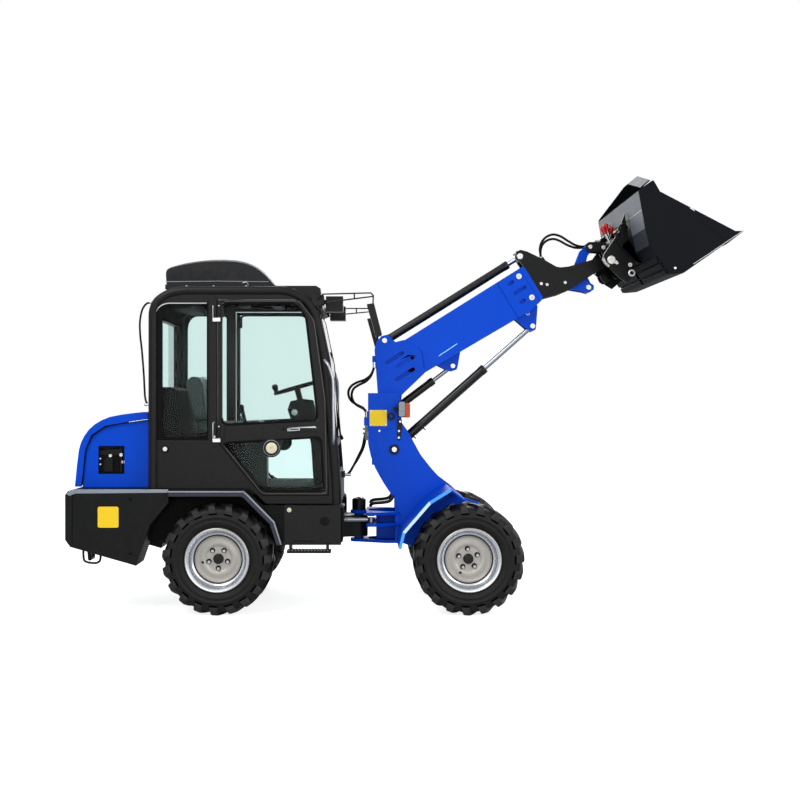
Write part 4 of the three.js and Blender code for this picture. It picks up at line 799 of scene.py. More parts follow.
def corners(line, radius, n=7):
    """The line with each inner corner replaced by n points of a curve that is tangent to both sides."""
    p = np.array(line, float)
    out = [p[0]]
    for a, b, c in zip(p[:-2], p[1:-1], p[2:]):
        u, w = a - b, c - b
        lu, lw = np.linalg.norm(u), np.linalg.norm(w)
        reach = min(radius, lu / 2.05, lw / 2.05)
        s, e = b + u / lu * reach, b + w / lw * reach
        for t in np.linspace(0, 1, n):
            out.append((1 - t) ** 2 * s + 2 * t * (1 - t) * b + t**2 * e)
    return np.array(out + [p[-1]])


def oval(line, y, wide, deep, sides=20):
    """An oval tube along a side-view line: wide in the side view, deep along Y."""
    p = np.stack([np.array(line)[:, 0], np.full(len(line), y), np.array(line)[:, 1]], 1)
    v, faces = swept(p, wide, sides)
    v = v.reshape(len(p), sides, 3)
    v[:, :, 1] = y + (v[:, :, 1] - y) * deep / wide
    return v.reshape(-1, 3), faces


def strip(line, y, r, sides=8):
    """A round bead along a side-view line, at y."""
    return swept([(x, y, z) for x, z in line], r, sides)


def plug(x, z, y, side):
    """A domed plug pressed into a hole in the face y."""
    return turned([(16, y - side), (15, y + side * 5), (8, y + side * 7), (0.1, y + side * 7),
            (0.1, y - side)], x, 0, z, 20)


LITE = [(-1413, 1194), (-1035, 1194), (-1035, 2145), (-1330, 2145), (-1390, 2112), (-1413, 2050)]
DOORWAY = [(-971, 1185), (-971, 2163), (-398, 2163), (-293, 2023), (-217, 1471), (-203, 811), (-666, 811)]
SHEET = [(-1440, 850), (-1440, 2085), (-1414, 2150), (-1326, 2224), (-1226, 2250), (-472, 2250),
      (-338, 2172),
         (-271, 2072), (-203, 1744), (-154, 1194), (-127, 850), (-127, 755), (-638, 755), (-733, 850)]
for hand, side in SIDES:
    y = side * CAB_Y
    tube = corners(TUBE, 70)
    piece(f"cab_tube_{hand}", [oval(tube, y - side * 29, 32, 29.5, 24)], cab_black, "rear_body",
          (f"cab_side_{hand}",), sharp=50)
    piece(f"cab_sheet_{hand}", [plate(SHEET, y - side * 14, y - side * 58,
          [corners(LITE + LITE[:1], 1)[:-1], DOORWAY])],
          cab_black, "rear_body", (f"cab_side_{hand}",), bevel=3)
    post = [(-1032, 1190), (-974, 1190), (-974, 2170), (-984, 2180), (-1022, 2180), (-1032, 2170)]
    piece(f"cab_post_{hand}", [plate(post, y - side * 4, y - side * 50)], cab_black, "rear_body",
          (f"cab_side_{hand}",), bevel=6, steps=3)
    panel = [(-1382, 858), (-1382, 1186), (-972, 1186), (-676, 806), (-742, 858)]
    piece(f"cab_panel_{hand}", [plate(panel, y - side * 6, y - side * 16)], cab_black, "rear_body",
          bevel=4, steps=3)
    # a bright bead along the rear pillar and roof curve of the side window: a painted highlight line
    bead = np.concatenate([[(-1045, 2137)], corners([(-1045, 2137), (-1330, 2137), (-1384, 2106),
          (-1405, 2046), (-1405, 1198)], 60)[1:]])
    piece(f"cab_highlight_bead_{hand}", [strip(bead, y - side * 12, 3.0)], bright_trim_and_highlight, "rear_body")
    piece(f"cab_lite_seal_{hand}", [strip(corners(LITE + LITE[:2], 30), y - side * 26, 9, 10)], seal_rubber,
          "rear_body")
    clear = [(-1350, 1214), (-1046, 1214), (-1046, 2128), (-1296, 2128), (-1336, 2092), (-1350, 2040)]
    piece(f"cab_lite_print_{hand}", [plate(corners(LITE + LITE[:1], 1)[:-1], y - side * 23, y - side * 21,
          [corners(clear + clear[:2], 24)[1:-1]])], seal_rubber, "rear_body")
    piece(f"cab_panel_bolt_{hand}", [turned([(26, y - side * 7), (26, y - side * 1), (22, y), (0.1, y),
          (0.1, y - side * 7)],
          -1330, 0, 1132, 24)], seal_rubber, "rear_body")
    piece(f"cab_panel_cap_{hand}", [plug(-1330, 1132, y, side),
          turned([(9, y - side * 12), (9, y - side * 4), (0.1, y - side * 3), (0.1, y - side * 12)], -992, 0,
          1216, 14)], cap_cream, "rear_body")
    hinges = []
    for z in (1180.0, 2010.0):
        hinges += [plate([(-1000, z), (-972, z), (-972, z + 24), (-1000, z + 24)], y + side * 16,
              y - side * 4),
                   plate([(-976, z), (-948, z), (-948, z + 24), (-976, z + 24)], y + side * 18, y
                   + side * 6)]
        hinges.append(swept([(-958, y + side * 12, z + k) for k in (8, 9, 109, 111)], [5, 6, 6, 5], 16,
              (1, 0, 0)))
    piece(f"cab_hinge_pins_{hand}", hinges, pin_steel, "rear_body", (f"cab_side_{hand}",),
          bevel=1.2)
    piece(f"cab_hinge_strips_{hand}", [swept([(-1000, y + side * 2, z) for z in (a, a + 3, b - 3, b)],
          [2, 3.5, 3.5, 2], 10,
          (1, 0, 0)) for a, b in ((2010, 2122), (1190, 1312))]
          + [swept([(-1000, y + side * 2, 1309), (-998, y + side * 2, 1314), (-990, y - side * 3, 1316)], 3,
          8)], bright_trim_and_highlight, "rear_body")
    rail = smooth([(-232, y - side * 3, 1745), (-222, y + side * 14, 1730), (-205, y + side * 31, 1708),
          (-184, y + side * 32, 1650),
                   (-174, y + side * 32, 1607), (-170, y + side * 32, 1400), (-167, y + side * 32, 1222),
                   (-169, y + side * 20, 1190), (-172, y - side * 3, 1171)], 7)
    piece(f"grab_rail_{hand}", [swept(rail, 9.6, 14)], bright_trim_and_highlight, "rear_body",
          (f"cab_side_{hand}",))

# ---------------------------------------------------------------- doors
# Doors: black pressed frames round tinted glass, rubber seals, a cast silver
# handle, and a round lock cover below the crossbar; hinged at the middle post.
DOOR_GLASS = {"upper": [(-938, 1298), (-938, 2138), (-429, 2138), (-360, 2050), (-277, 1332)],
              "lower": [(-938, 1174), (-663, 842), (-236, 842), (-257, 1215)]}
LOCK_X, LOCK_Z = -597, 1139
cream = finish("lock_cream", "cfc7ae", 0.45, grain=70, relief=0.0002, dust=0.1)
# grey metal for a painted highlight line round the door edges
edge_highlight_steel = finish("door_edge_steel", "55504c", 0.35, metal=0.6, dust=0.1)
for hand, side in SIDES:
    y, body = side * CAB_Y, f"door_{hand}_body"
    softened(f"door_frame_{hand}", f"door_{hand}", cab_black, body, 5, sharp=30, steps=3)
    softened(f"door_pane_{hand}", f"door_glass_{hand}", glass, body, 1.5)
    seals = [strip(corners(run + run[:2], 46)[1:-1], y - side * 5, 8.5, 10) for run in DOOR_GLASS.values()]
    piece(f"door_seals_{hand}", seals, seal_rubber, body)
    # a thin metal strip round the door's edge: a painted highlight line
    rim_line = corners([(-925, 1155), (-660, 824), (-216, 824), (-230, 1470), (-306, 2018), (-404, 2150),
          (-925, 2150)], 34)
    piece(f"door_edge_{hand}", [strip(rim_line, y + side * 0.5, 2.6)], edge_highlight_steel, body)
    piece(f"door_boss_{hand}", [turned([(64, y + side), (64, y + side * 7), (58, y + side * 11),
          (50, y + side * 9),
          (50, y - side * 2), (0.1, y - side * 2), (0.1, y - side * 30), (64, y - side * 30)], LOCK_X, 0,
          LOCK_Z,
          48),
          plate([(-655, 1300), (-655, 1139), (-540, 1139), (-520, 1190), (-470, 1215), (-470, 1300)], y
          + side * 1.5,
                y - side * 28)], cab_black, body, bevel=3)
    piece(f"door_boss_ring_{hand}", [turned([(56, y + side * 10.5), (54, y + side * 12.5),
          (52, y + side * 10),
          (53, y + side * 8)], LOCK_X, 0, LOCK_Z, 48)], bright_trim_and_highlight, body)
    piece(f"door_lock_{hand}", [turned([(38, y - side * 3), (38, y + side * 6), (33, y + side * 9),
          (11, y + side * 9),
          (9, y + side * 2), (0.1, y + side * 2), (0.1, y - side * 3)], LOCK_X, 0, LOCK_Z, 40)], cream, body)
    bar = [(-484, 1253), (-292, 1262), (-288, 1268), (-290, 1284), (-296, 1290), (-480, 1279), (-488, 1272),
          (-489, 1258)]
    piece(f"door_handle_{hand}", [plate(bar, y + side * 8, y - side * 4),
          plate([(-478, 1256), (-400, 1260), (-400, 1277), (-478, 1273)], y + side * 14, y + side * 6)],
          bright_trim_and_highlight, body, bevel=3, steps=3)
    piece(f"door_handle_slot_{hand}", [plate([(-470, 1262), (-408, 1265), (-408, 1272), (-470, 1269)], y
          + side * 15.2,
          y + side * 10), turned([(8, y), (8, y + side * 5), (0.1, y + side * 6), (0.1, y)], -516, 0, 1268,
          14)], seal_rubber, body, bevel=1)

# ---------------------------------------------------------------- cab panes
# Windshield, rear and side panes of lightly tinted glass. The windshield has
# a rubber seal all round and a wiper with its arm and motor cover.
for node in ("windshield", "rear_glass", "side_glass_right", "side_glass_left"):
    softened(node + "_pane", node, glass, "rear_body", 1.0)
piece("windshield_seal", [swept([(x, s * 492, z) for x, z in ((-150, 1200), (-199, 1745), (-268, 2072))], 7,
      10)
      for s in (-1, 1)] + [swept([(x, q, z) for q in (-492, -160, 160, 492)], 7, 10, (1, 0, 0)) for x, z in
      ((-152, 1201), (-268, 2070))], seal_rubber, "rear_body")
piece("wiper", [swept([(-136, 40, 1206), (-150, 52, 1280), (-186, 120, 1560), (-194, 150, 1690)],
      [8, 6, 5, 4], 10),
      swept([(-172, 160, 1420), (-188, 152, 1600), (-210, 146, 1830)], [5, 6, 4], 8),
      swept([(-140, 40, 1190), (-126, 40, 1194), (-118, 40, 1198)], [18, 18, 12], 14, (0, 0, 1))],
      seal_rubber, "rear_body")

# ---------------------------------------------------------------- cab body
# Tub and roof: folded sheet in satin black, with a dark roof lining and its
# fittings, a rubber floor mat, the trim behind the seat, and the work lamps.
softened("cab_tub_sheet", "cab_tub", cab_black, "rear_body", 3)
softened("cab_roof_sheet", "cab_roof", cab_black, "rear_body", 5, steps=3)
trim_black = finish("trim_black", "090a0a", 0.7, shine=0.1, grain=260, relief=0.0005, dust=0.02)
piece("rear_trim", [plate([(-1404, 852), (-1404, 1548), (-1388, 1560), (-1300, 1560), (-1270, 1540),
      (-1232, 1240), (-1200, 1180),
      (-1200, 852)], -470, 470)], trim_black, "rear_body", bevel=10, steps=3)
piece("floor_mat", [plate([(-1180, 851), (-140, 851), (-140, 861), (-1180, 861)], -470, 470)]
      + [swept([(x, -460, 862), (x, 460, 862)], 3.5, 6, (1, 0, 0)) for x in np.arange(-660, -150, 38.0)],
      trim_black, "rear_body")
liner_black = finish("liner_black", "070808", 0.9, shine=0.0, grain=300, relief=0.0003, mottle=0.2, dust=0.0)
piece("roof_liner", [plate([(-1406, 2044), (-1404, 2090), (-1383, 2126), (-1311, 2178), (-1219, 2196),
      (-483, 2196), (-370, 2146),
      (-313, 2066), (-318, 2063), (-375, 2141), (-485, 2191), (-1218, 2191), (-1308, 2173), (-1378, 2122),
      (-1400, 2088), (-1402, 2044)],
      -498, 498)], liner_black, "rear_body")
piece("roof_fittings", [plate(rounded(-640, -560, 2150, 2196, 12), -150, 150),
      plate(rounded(-900, -820, 2165, 2196, 10), 60, 240)]
      + [plate(rounded(-1330, -1180, 2120, 2190, 20), -330, 330)], trim_black, "rear_body",
      bevel=4)
lens_white = finish("lens_white", "e6e8e6", 0.2, coat=0.6, grain=60, relief=0.0006, mottle=0.08, dust=0.04)
for hand, side in SIDES:
    y = side * 415.0
    shell = [(104, 0), (116, 22), (118, 60), (104, 84), (60, 100), (28, 104), (0.1, 104)]
    ring = np.array([(r * 0.42, d) for r, d in shell] + [(0.1, 0)], float)
    a = np.arange(36) * 2 * math.pi / 36
    v = np.stack([-152 - 0.6 * np.repeat(ring[:, 1:], 36, 1), y + ring[:, :1] * np.cos(a), 2139
          + ring[:, :1] * np.sin(a) * 0.86], 2)
    piece(f"work_lamp_{hand}", [(v.reshape(-1, 3), grid(len(ring), 36))], lamp_black, "rear_body",
          sharp=40)
    face = np.array([(42, 0), (41, -7), (37, -9), (0.1, -10)], float)
    v = np.stack([-152 - np.repeat(face[:, 1:], 36, 1), y + face[:, :1] * np.cos(a), 2139
          + face[:, :1] * np.sin(a) * 0.86], 2)
    piece(f"work_lamp_lens_{hand}", [(v.reshape(-1, 3), grid(len(face), 36))], lens_white, "rear_body")

# ---------------------------------------------------------------- roof unit
# Air conditioner: a domed, moulded shell on a flat base, with a sunk louvred
# panel in each side, bolts along the base and a small lifting loop.
shell_plastic = finish("shell_plastic", "0f1116", 0.4, shine=0.2, grain=420, relief=0.0004, mottle=0.1,
      dust=0.02)
AIR_BASE, AIR_MID, AIR_HALF = 2290, -991, 300.0
DOME = [(-1376, 2290), (-1378, 2396), (-1362, 2416), (-1300, 2438), (-1236, 2454), (-1140, 2470),
      (-1022, 2480), (-920, 2479),
        (-844, 2471), (-780, 2453), (-737, 2433), (-690, 2400), (-650, 2362), (-616, 2322), (-590, 2290)]


def dome(levels=9):
    """Rings of the shell. With t the share of the half width and k = (1 - t^5)^0.5, each ring is the
    side-view line, (0.88 + 0.12 k) as high over its base and (0.975 + 0.025 k) as long about its middle."""
    t = np.linspace(-1, 1, 2 * levels + 1)
    p = smooth([(x, 0, z) for x, z in DOME], 16)[:, [0, 2]]
    rows = []
    for s in t:
        k = (1 - abs(s) ** 5) ** 0.5 if abs(s) < 1 else 0.0
        z = AIR_BASE + (p[:, 1] - AIR_BASE) * (0.88 + 0.12 * k)
        x = AIR_MID + (p[:, 0] - AIR_MID) * (0.975 + 0.025 * k)
        rows.append(np.stack([x, np.full(len(p), s * AIR_HALF), z], 1))
    v = np.concatenate(rows)
    c = len(p)
    faces = grid(len(t), c, loop=False) + [list(range(c))[::-1], list(range((len(t) - 1) * c, len(t) * c))]
    faces.append([r * c for r in range(len(t))] + [r * c + c - 1 for r in reversed(range(len(t)))])
    return v, faces


piece("air_unit_shell", [dome()], shell_plastic, "rear_body", ("air_conditioner",), sharp=30)
piece("air_unit_base", [plate([(-1378, 2258.4), (-600, 2258.4), (-596, 2270), (-604, 2294), (-1378, 2294)],
      -298, 298)],
      shell_plastic, "rear_body", ("air_conditioner",), bevel=5, steps=3)
vents = []
for side in (-1, 1):
    arch = corners([(-1364, 2318), (-1356, 2374), (-1250, 2408), (-1120, 2424), (-1022, 2426), (-930, 2410),
          (-840, 2372), (-700, 2318)], 30)
    vents.append(plate(arch, side * 300.5, side * 296))
    for x in np.arange(-1334, -1010, 21.0):
        top = 2364 + 44 * math.sin((x + 1352) / 1352 * 4.2)
        vents.append(plate([(x, 2330), (x + 7, 2330), (x + 7, top), (x, top)], side * 303.5, side * 299))
piece("air_unit_louvres", vents, finish("louvre_black", "0d0e11", 0.5, shine=0.2, dust=0.08), "rear_body",
      bevel=1.5)
piece("air_unit_seam", [swept([(x, s * 300, z) for x, z in ((-1376, 2312), (-1000, 2316), (-640, 2312))],
      2.6, 8)
      for s in (-1, 1)], finish("seam_light", "8b8f94", 0.4, metal=0.3, dust=0.05), "rear_body")
piece("air_unit_bolts", [nut(x, s * 298, 2280, 7, 4, s) for x in (-1224, -1032, -800) for s in (-1, 1)]
      + [swept(smooth([(-824, s * 299, 2304), (-800, s * 304, 2308), (-786, s * 304, 2292),
      (-788, s * 299, 2276)], 3), 2.4, 8)
         for s in (-1, 1)], zinc, "rear_body")

# ---------------------------------------------------------------- mirrors
# Rear-view mirrors: bent wire frames from the roof corners, with a moulded
# tapered back and a mirror glass that faces the driver.
mirror_black = finish("mirror_black", "0b0c0e", 0.38, shine=0.18, grain=300, relief=0.0003, dust=0.02)
silvered = finish("silvered", "c6d0d6", 0.06, metal=1.0, grain=20, relief=0.00002, mottle=0.02, dust=0.03)


def block(points):
    """A closed block of six faces: the four corners of one face, then the opposite four."""
    faces = [[0, 1, 2, 3], [7, 6, 5, 4], [0, 4, 5, 1], [1, 5, 6, 2], [2, 6, 7, 3], [3, 7, 4, 0]]
    return np.array(points), faces


for hand, side in SIDES:
    softened(f"mirror_shell_{hand}", f"mirror_{hand}", mirror_black, "rear_body", 4, sharp=40,
          steps=3)
    v = np.array([(66, side * 614, 2106), (64, side * 706, 2106), (124, side * 706, 1906),
          (126, side * 614, 1906)], float)
    v = np.concatenate([v - [1.5, 0, 0.4], v + [4, 0, 1]])
    piece(f"mirror_glass_{hand}", [block(v)], silvered, "rear_body")
    piece(f"mirror_socket_{hand}", [plate(rounded(-322, -236, 2120, 2196, 10), side * 500, side * 548)],
          mirror_black, "rear_body", bevel=4)

# ---------------------------------------------------------------- operator
# Suspension seat with padded cushions in teal-grey vinyl, a steering wheel with
# a spinner on its column, and the joystick on the arm console.
seat_vinyl = finish("seat_vinyl", "36403f", 0.5, shine=0.25, grain=340, relief=0.0006, mottle=0.12,
      dust=0.05)
seat_base = finish("seat_base", "0d0e0e", 0.6, shine=0.12, grain=260, relief=0.0004, dust=0.1)


def cushion(name, outline, y_half, swell, ny=17):
    """A crowned closed pad. With u the share of the half width and k = (1 - 0.86 u^6)^0.5, each
    section is the side outline scaled by (0.9 + swell k) about its middle, with a sewn channel
    at 0.55 of the half width."""
    line = corners(outline + outline[:2], 26, 5)[1:-1]
    mid = line.mean(0)
    rows = []
    for u in np.linspace(-1, 1, ny):
        k = (1 - abs(u) ** 6 * 0.86) ** 0.5
        pull = 1 - 0.5 * (1 - k)
        channel = 1 - 0.03 * math.exp(-((abs(u) - 0.55) / 0.05) ** 2)
        sec = mid + (line - mid) * (0.90 + swell * k) * channel
        rows.append(np.stack([sec[:, 0], np.full(len(line), u * y_half * (0.985 + 0.015 * pull)), sec[:, 1]],
              1))
    c = len(line)
    v = np.concatenate(rows)
    faces = grid(ny, c) + [list(range(c))[::-1], list(range((ny - 1) * c, ny * c))]
    pad = piece(name, [(v, faces)], seat_vinyl, "rear_body", ("seat",), sharp=60)
    wave = pad.modifiers.new("round", "SUBSURF")
    wave.levels = wave.render_levels = 1
    return pad


cushion("seat_cushion", [(-1172, 1232), (-712, 1243), (-698, 1290), (-716, 1326), (-940, 1312),
      (-1172, 1322)], 232, 0.09)
cushion("seat_back", [(-1188, 1300), (-1092, 1316), (-1116, 1560), (-1142, 1632), (-1208, 1648),
      (-1252, 1600)], 222, 0.09)
# a bright strip along the top of the seat back: a painted highlight
piece("seat_top_highlight", [swept(smooth([(-1130, q, 1636) if abs(q) < 190 else (-1128, q, 1600)
      for q in np.linspace(-212, 212, 15)], 8),
      4, 8, (1, 0, 0))], bright_trim_and_highlight, "rear_body")
folds = [plate([(-1140, z), (-810, z), (-800, z + 16), (-810, z + 32), (-1140, z + 32), (-1150, z + 16)],
      -182, 182) for z in np.arange(1020, 1200, 34.0)]
piece("seat_suspension", [plate([(-1148, 850), (-802, 850), (-802, 1014), (-1148, 1014)], -186, 186)] + folds
      + [plate([(-1176, 1206), (-720, 1214), (-720, 1236), (-1176, 1230)], -205, 205)], seat_base,
      "rear_body", ("seat",), bevel=5)
softened("steering_column_cover", "steering_column", seat_base, "rear_body", 4, sharp=40, steps=3)
knob = [(0.1, 0), (13, 2), (15, 16), (21, 30), (23, 46), (17, 60), (0.1, 64)]
for label, spot, lean in (("spinner", (-603, -60, 1524), (-0.28, 0, 0.96)),
        ("lever_knob", (-822, -360, 1376), (-0.2, 0, 0.98))):
    way = np.array(lean)
    piece(label, [swept([np.array(spot) + way * d for _, d in knob], [r for r, _ in knob], 18)], seat_base,
          "rear_body")
piece("dash_dials", [swept([np.array((-500, q, 1400)) + np.array((-1, 0, 0.1)) * d for d in (0, 8, 9, 12)],
      [26, 26, 22, 22], 20,
      (0, 1, 0)) for q in (-40, 30)] + [swept([np.array((-470, -82, 1380)) + np.array((0, -1, 0)) * d
      for d in (0, 6, 9)],
      [22, 22, 14], 20, (1, 0, 0))], bright_trim_and_highlight, "rear_body")

# ---------------------------------------------------------------- hood
# Engine hood: one bent band of blue sheet over two flat side panels, with a
# bead in the seam and a short bright bead beside it as a painted highlight, and a
# square hatch that shows the latch and its bolts.
HOOD_Y, POD_Y, TANK_Y = 455.0, 600.0, 600.0
softened("hood_band", "hood", blue_enamel, "hood_body", 6, sharp=20, steps=4)
for hand, side in SIDES:
    y = side * (HOOD_Y - 19)
    softened(f"hood_panel_{hand}", f"hood_side_{hand}", blue_enamel, "rear_body", 3, sharp=30)
    seam = corners([(-1932, 866), (-1905, 1121), (-1862, 1222), (-1767, 1286), (-1504, 1334), (-1472, 1338)],
          90)
    piece(f"hood_seam_{hand}", [strip(seam, y + side * 15, 3.2)], seal_rubber, "rear_body")
    # a short bright bead beside the seam: a painted highlight
    piece(f"hood_seam_highlight_{hand}", [strip([(-1600, 1315), (-1504, 1331), (-1470, 1334)], y + side * 17, 2.2)],
          bright_trim_and_highlight, "rear_body")
    hatch = [(-1819, 953), (-1637, 953), (-1637, 1149), (-1819, 1149)]
    frame_in = [(-1812, 962), (-1650, 962), (-1650, 1142), (-1700, 1136), (-1812, 1118)]
    piece(f"hood_hatch_{hand}", [plate(hatch, y - side * 18, y - side * 24),
          plate([(-1815, 957), (-1641, 957), (-1641, 1145),
          (-1815, 1145)], y + side, y - side * 16, [frame_in])], seal_rubber, "rear_body",
          bevel=2)
    piece(f"hood_latch_{hand}", [plate([(-1780, 968), (-1720, 968), (-1720, 1060), (-1760, 1075),
          (-1780, 1040)], y - side * 6, y - side * 17),
          plate([(-1668, 962), (-1656, 962), (-1656, 1140), (-1668, 1140)], y - side * 2, y - side * 17),
          plate([(-1830, 1084), (-1600, 1084), (-1600, 1126), (-1830, 1126)], y - side * 12, y - side * 17)],
          black_enamel, "rear_body", bevel=2)
    piece(f"hood_bolts_{hand}", [pin_cap(x, z, r, y - side * 8, 8, side) for x, z, r in
          ((-1736, 1080, 12), (-1661, 1086, 13), (-1647, 1036, 12), (-1806, 1060, 6), (-1806, 1020, 6))],
          pin_steel, "rear_body")
piece("hood_handle", [swept(smooth([(-1964, -60, 1000), (-1990, -55, 1005), (-1992, 0, 1006),
      (-1990, 55, 1005), (-1964, 60, 1000)], 6),
      8, 12, (0, 0, 1))], black_enamel, "hood_body")
piece("hood_grille", [block([(-1956 + d - (z - 880) * -0.105, q, z) for q in (-300, 300) for d, z in
      ((0, z0), (-6, z0 + 3), (-6, z0 + 9), (0, z0 + 12))]) for z0 in np.arange(890, 1110, 26.0)],
      black_enamel, "hood_body")

# ---------------------------------------------------------------- rear weight
# Counterweight pods: thick cast and welded steel in satin black. Their top
# lips are chamfered, with a painted highlight in pale grey along them and the arch
# edge; the side carries a blank yellow plate.
pod_black = finish("pod_black", "0c0d0f", 0.42, shine=0.13, grain=130, relief=0.0006, mottle=0.16, dust=0.02)
# pale grey: a painted highlight on the pods' chamfered lips and arch edge, also used on the step tread
sheen_and_tread_grey = finish("sheen_and_tread_grey", "7f868f", 0.34, metal=0.35, shine=0.5, grain=60, relief=0.0003, mottle=0.22,
      dust=0.1)
softened("counterweight_cast", "counterweight", pod_black, "rear_body", 22, sharp=40, steps=1)
for hand, side in SIDES:
    y = side * POD_Y
    # chamfers along the top lip and the arch edge in pale grey: a painted highlight
    lip = [(-2000, 826), (-1984, 844), (-1938, 857), (-1300, 857), (-1300, 834), (-1936, 828), (-1978, 812)]
    piece(f"pod_lip_sheen_{hand}", [plate(lip, y + side * 3, y - side * 4),
          plate([(-1298, 838), (-1298, 849), (-780, 849),
          (-752, 826), (-569, 640), (-521, 484), (-531, 481), (-579, 632), (-760, 817), (-784, 838)],
          side * 643.5, side * 634)],
          sheen_and_tread_grey, "rear_body", bevel=3)
    piece(f"pod_seam_{hand}", [strip([(-1960, 474), (-1958, 640), (-1956, 842)], y + side * 0.4, 2.4)],
          seal_rubber, "rear_body")
    blank = rounded(-1784, -1641, 595, 739, 12)
    piece(f"pod_plate_{hand}", [plate(blank, y - side, y + side * 2.5)], yellow_plate, "rear_body",
          bevel=0.8)
    facet = [(-1430, 849), (-1300, 849), (-1300, 768), (-1426, 616), (-1470, 480), (-1500, 486),
          (-1450, 640), (-1334, 778), (-1334, 800)]
    piece(f"pod_arch_{hand}", [plate(facet[1:8] + [(-1312, 800)], y + side * 2.5, y - side * 6)], pod_black,
          "rear_body", bevel=3)
    piece(f"pod_lamps_{hand}", [block([(-2008 - d, side * (430 + s * (44 - d * 0.4)), 720
          + t * (34 - d * 0.4)) for d in (0, 12)
          for s, t in ((-1, -1), (1, -1), (1, 1), (-1, 1))])], lens_amber, "rear_body", bevel=4)
piece("pod_bolts", [nut(x, s * 600, z, 11, 7, s) for s in (-1, 1) for x, z in ((-1560, 790), (-1560, 420))],
      seal_rubber, "rear_body")
piece("tie_down", [swept(smooth([(-1892, s * 560, 448), (-1892, s * 560, 400), (-1886, s * 560, 366),
      (-1864, s * 560, 353),
      (-1800, s * 560, 349), (-1780, s * 560, 362), (-1774, s * 560, 390), (-1774, s * 560, 414)], 5), 8, 12)
      for s in (-1, 1)], black_enamel, "rear_body")
piece("tow_pin", [swept([(-1986, 0, z) for z in (296, 300, 452, 456)], [9, 11, 11, 9], 16, (1, 0, 0)),
      swept([(-1986, 0, z) for z in (452, 455, 466, 470)], [18, 20, 20, 16], 16, (1, 0, 0))], zinc,
      "rear_body")

# ---------------------------------------------------------------- rear frame
# Rear frame rails and engine: black welded plate, a grey-black cast engine
# block with its cover, fan cowl, manifold pipes and filters under the hood.
softened("rear_frame_rails", "rear_frame", black_enamel, "rear_body", 4, sharp=30)
softened("engine_block", "engine", cast_black, "rear_body", 8, sharp=30, steps=3)
piece("engine_details", [swept([(x, 0, 905) for x in (-1852, -1858, -1880, -1884)], [190, 200, 200, 186],
      40),
      plate([(-1800, 1151), (-1560, 1151), (-1560, 1206), (-1580, 1222), (-1780, 1222), (-1800, 1206)], -120,
      60),
      swept([(-1650, 150, z) for z in (1150, 1158, 1250, 1262)], [48, 52, 52, 40], 24, (1, 0, 0)),
      swept([(-1780, 190, z) for z in (1150, 1155, 1206, 1212)], [60, 64, 64, 56], 24, (1, 0, 0))]
      + [swept([(-1560 - k * 60, -266, 1000), (-1560 - k * 60, -300, 1010), (-1560 - k * 60, -306, 1050)],
      14, 12, (1, 0, 0))
         for k in range(4)], cast_black, "rear_body", bevel=4)

# ---------------------------------------------------------------- side boxes
# Side tanks with a hanging step, and the rear wheel's fender: folded black
# sheet, with a patterned tread on the step.
# lighter navy on a black fender: painted sheen on its folded facet
facet_navy_sheen = finish("facet_navy_sheen", "141a28", 0.3, shine=0.35, grain=90, relief=0.0003, mottle=0.2, dust=0.04)
for hand, side in SIDES:
    softened(f"side_tank_{hand}", f"side_box_{hand}", cab_black, "rear_body", 4, sharp=30,
          steps=3)
    y = side * TANK_Y
    piece(f"tank_cap_{hand}", [plug(-472, 716, y, side)], cream, "rear_body")
    piece(f"tank_front_{hand}", [plate([(-116, 490), (-116, 736), (-104, 728), (-100, 690), (-100, 540),
          (-106, 496)],
          y - side * 20, side * 350)] + [turned([(30, y), (30, y + side * 8), (26, y + side * 12),
          (0.1, y + side * 12),
          (0.1, y)], -230, 0, 640, 28), plate([(-440, 500), (-300, 500), (-300, 506), (-440, 506)], y
          + side * 2, y - side * 2)],
          trim_black, "rear_body", bevel=3)
    ridges = [block([(x + d, y + side * q, 445 + h) for q in (-34, 54) for d,
          h in ((0, 0), (3, 4), (7, 4), (10, 0))]) for x in np.arange(-476, -200, 22.0)]
    piece(f"step_tread_{hand}", ridges, sheen_and_tread_grey, "rear_body")

    # inner arch: a liner behind the tyre, a cheek that closes on the tank, and the fender's folded facet in
    # a lighter navy as a painted sheen
    piece(f"arch_liner_{hand}", [plate([(-1470, 484), (-1440, 812), (-1298, 834), (-782, 834), (-584, 630),
          (-536, 484)],
          side * 404, side * 410), plate([(-752, 822), (-650, 748), (-506, 748), (-506, 500), (-523, 486),
          (-571, 638)],
          side * 588, side * 596)], trim_black, "rear_body", bevel=2)
    piece(f"arch_facet_{hand}", [plate([(-1296, 836), (-1296, 812), (-800, 812), (-780, 800), (-602, 622),
          (-556, 480), (-532, 480),
          (-580, 634), (-762, 817), (-785, 837)], side * 641, side * 600)], facet_navy_sheen, "rear_body",
          bevel=2)

# ---------------------------------------------------------------- joint area
# Between the frames: a valve block with plated fittings, above the ears of
# the articulation and fixed to the rear frame.
piece("valve_block", [plate([(-236, 645), (-150, 645), (-150, 706), (-172, 720), (-236, 720)], -150, 60),
      plate([(-214, 722), (-176, 722), (-176, 742), (-214, 742)], -120, 20)], black_enamel, "rear_body",
      bevel=4)
piece("valve_fittings", [swept([(-150, y0, 700), (-124, y0, 700), (-123, y0, 700), (-106, y0, 698)],
      [11, 11, 8, 8], 6, (0, 0, 1))
      for y0 in (-130, -90, -50, -10)] + [swept([(-196, y0, z) for z in (738, 756, 757, 772)],
      [10, 10, 7, 7], 6,
      (1, 0, 0)) for y0 in (-100, -55, -10)], zinc, "rear_body")

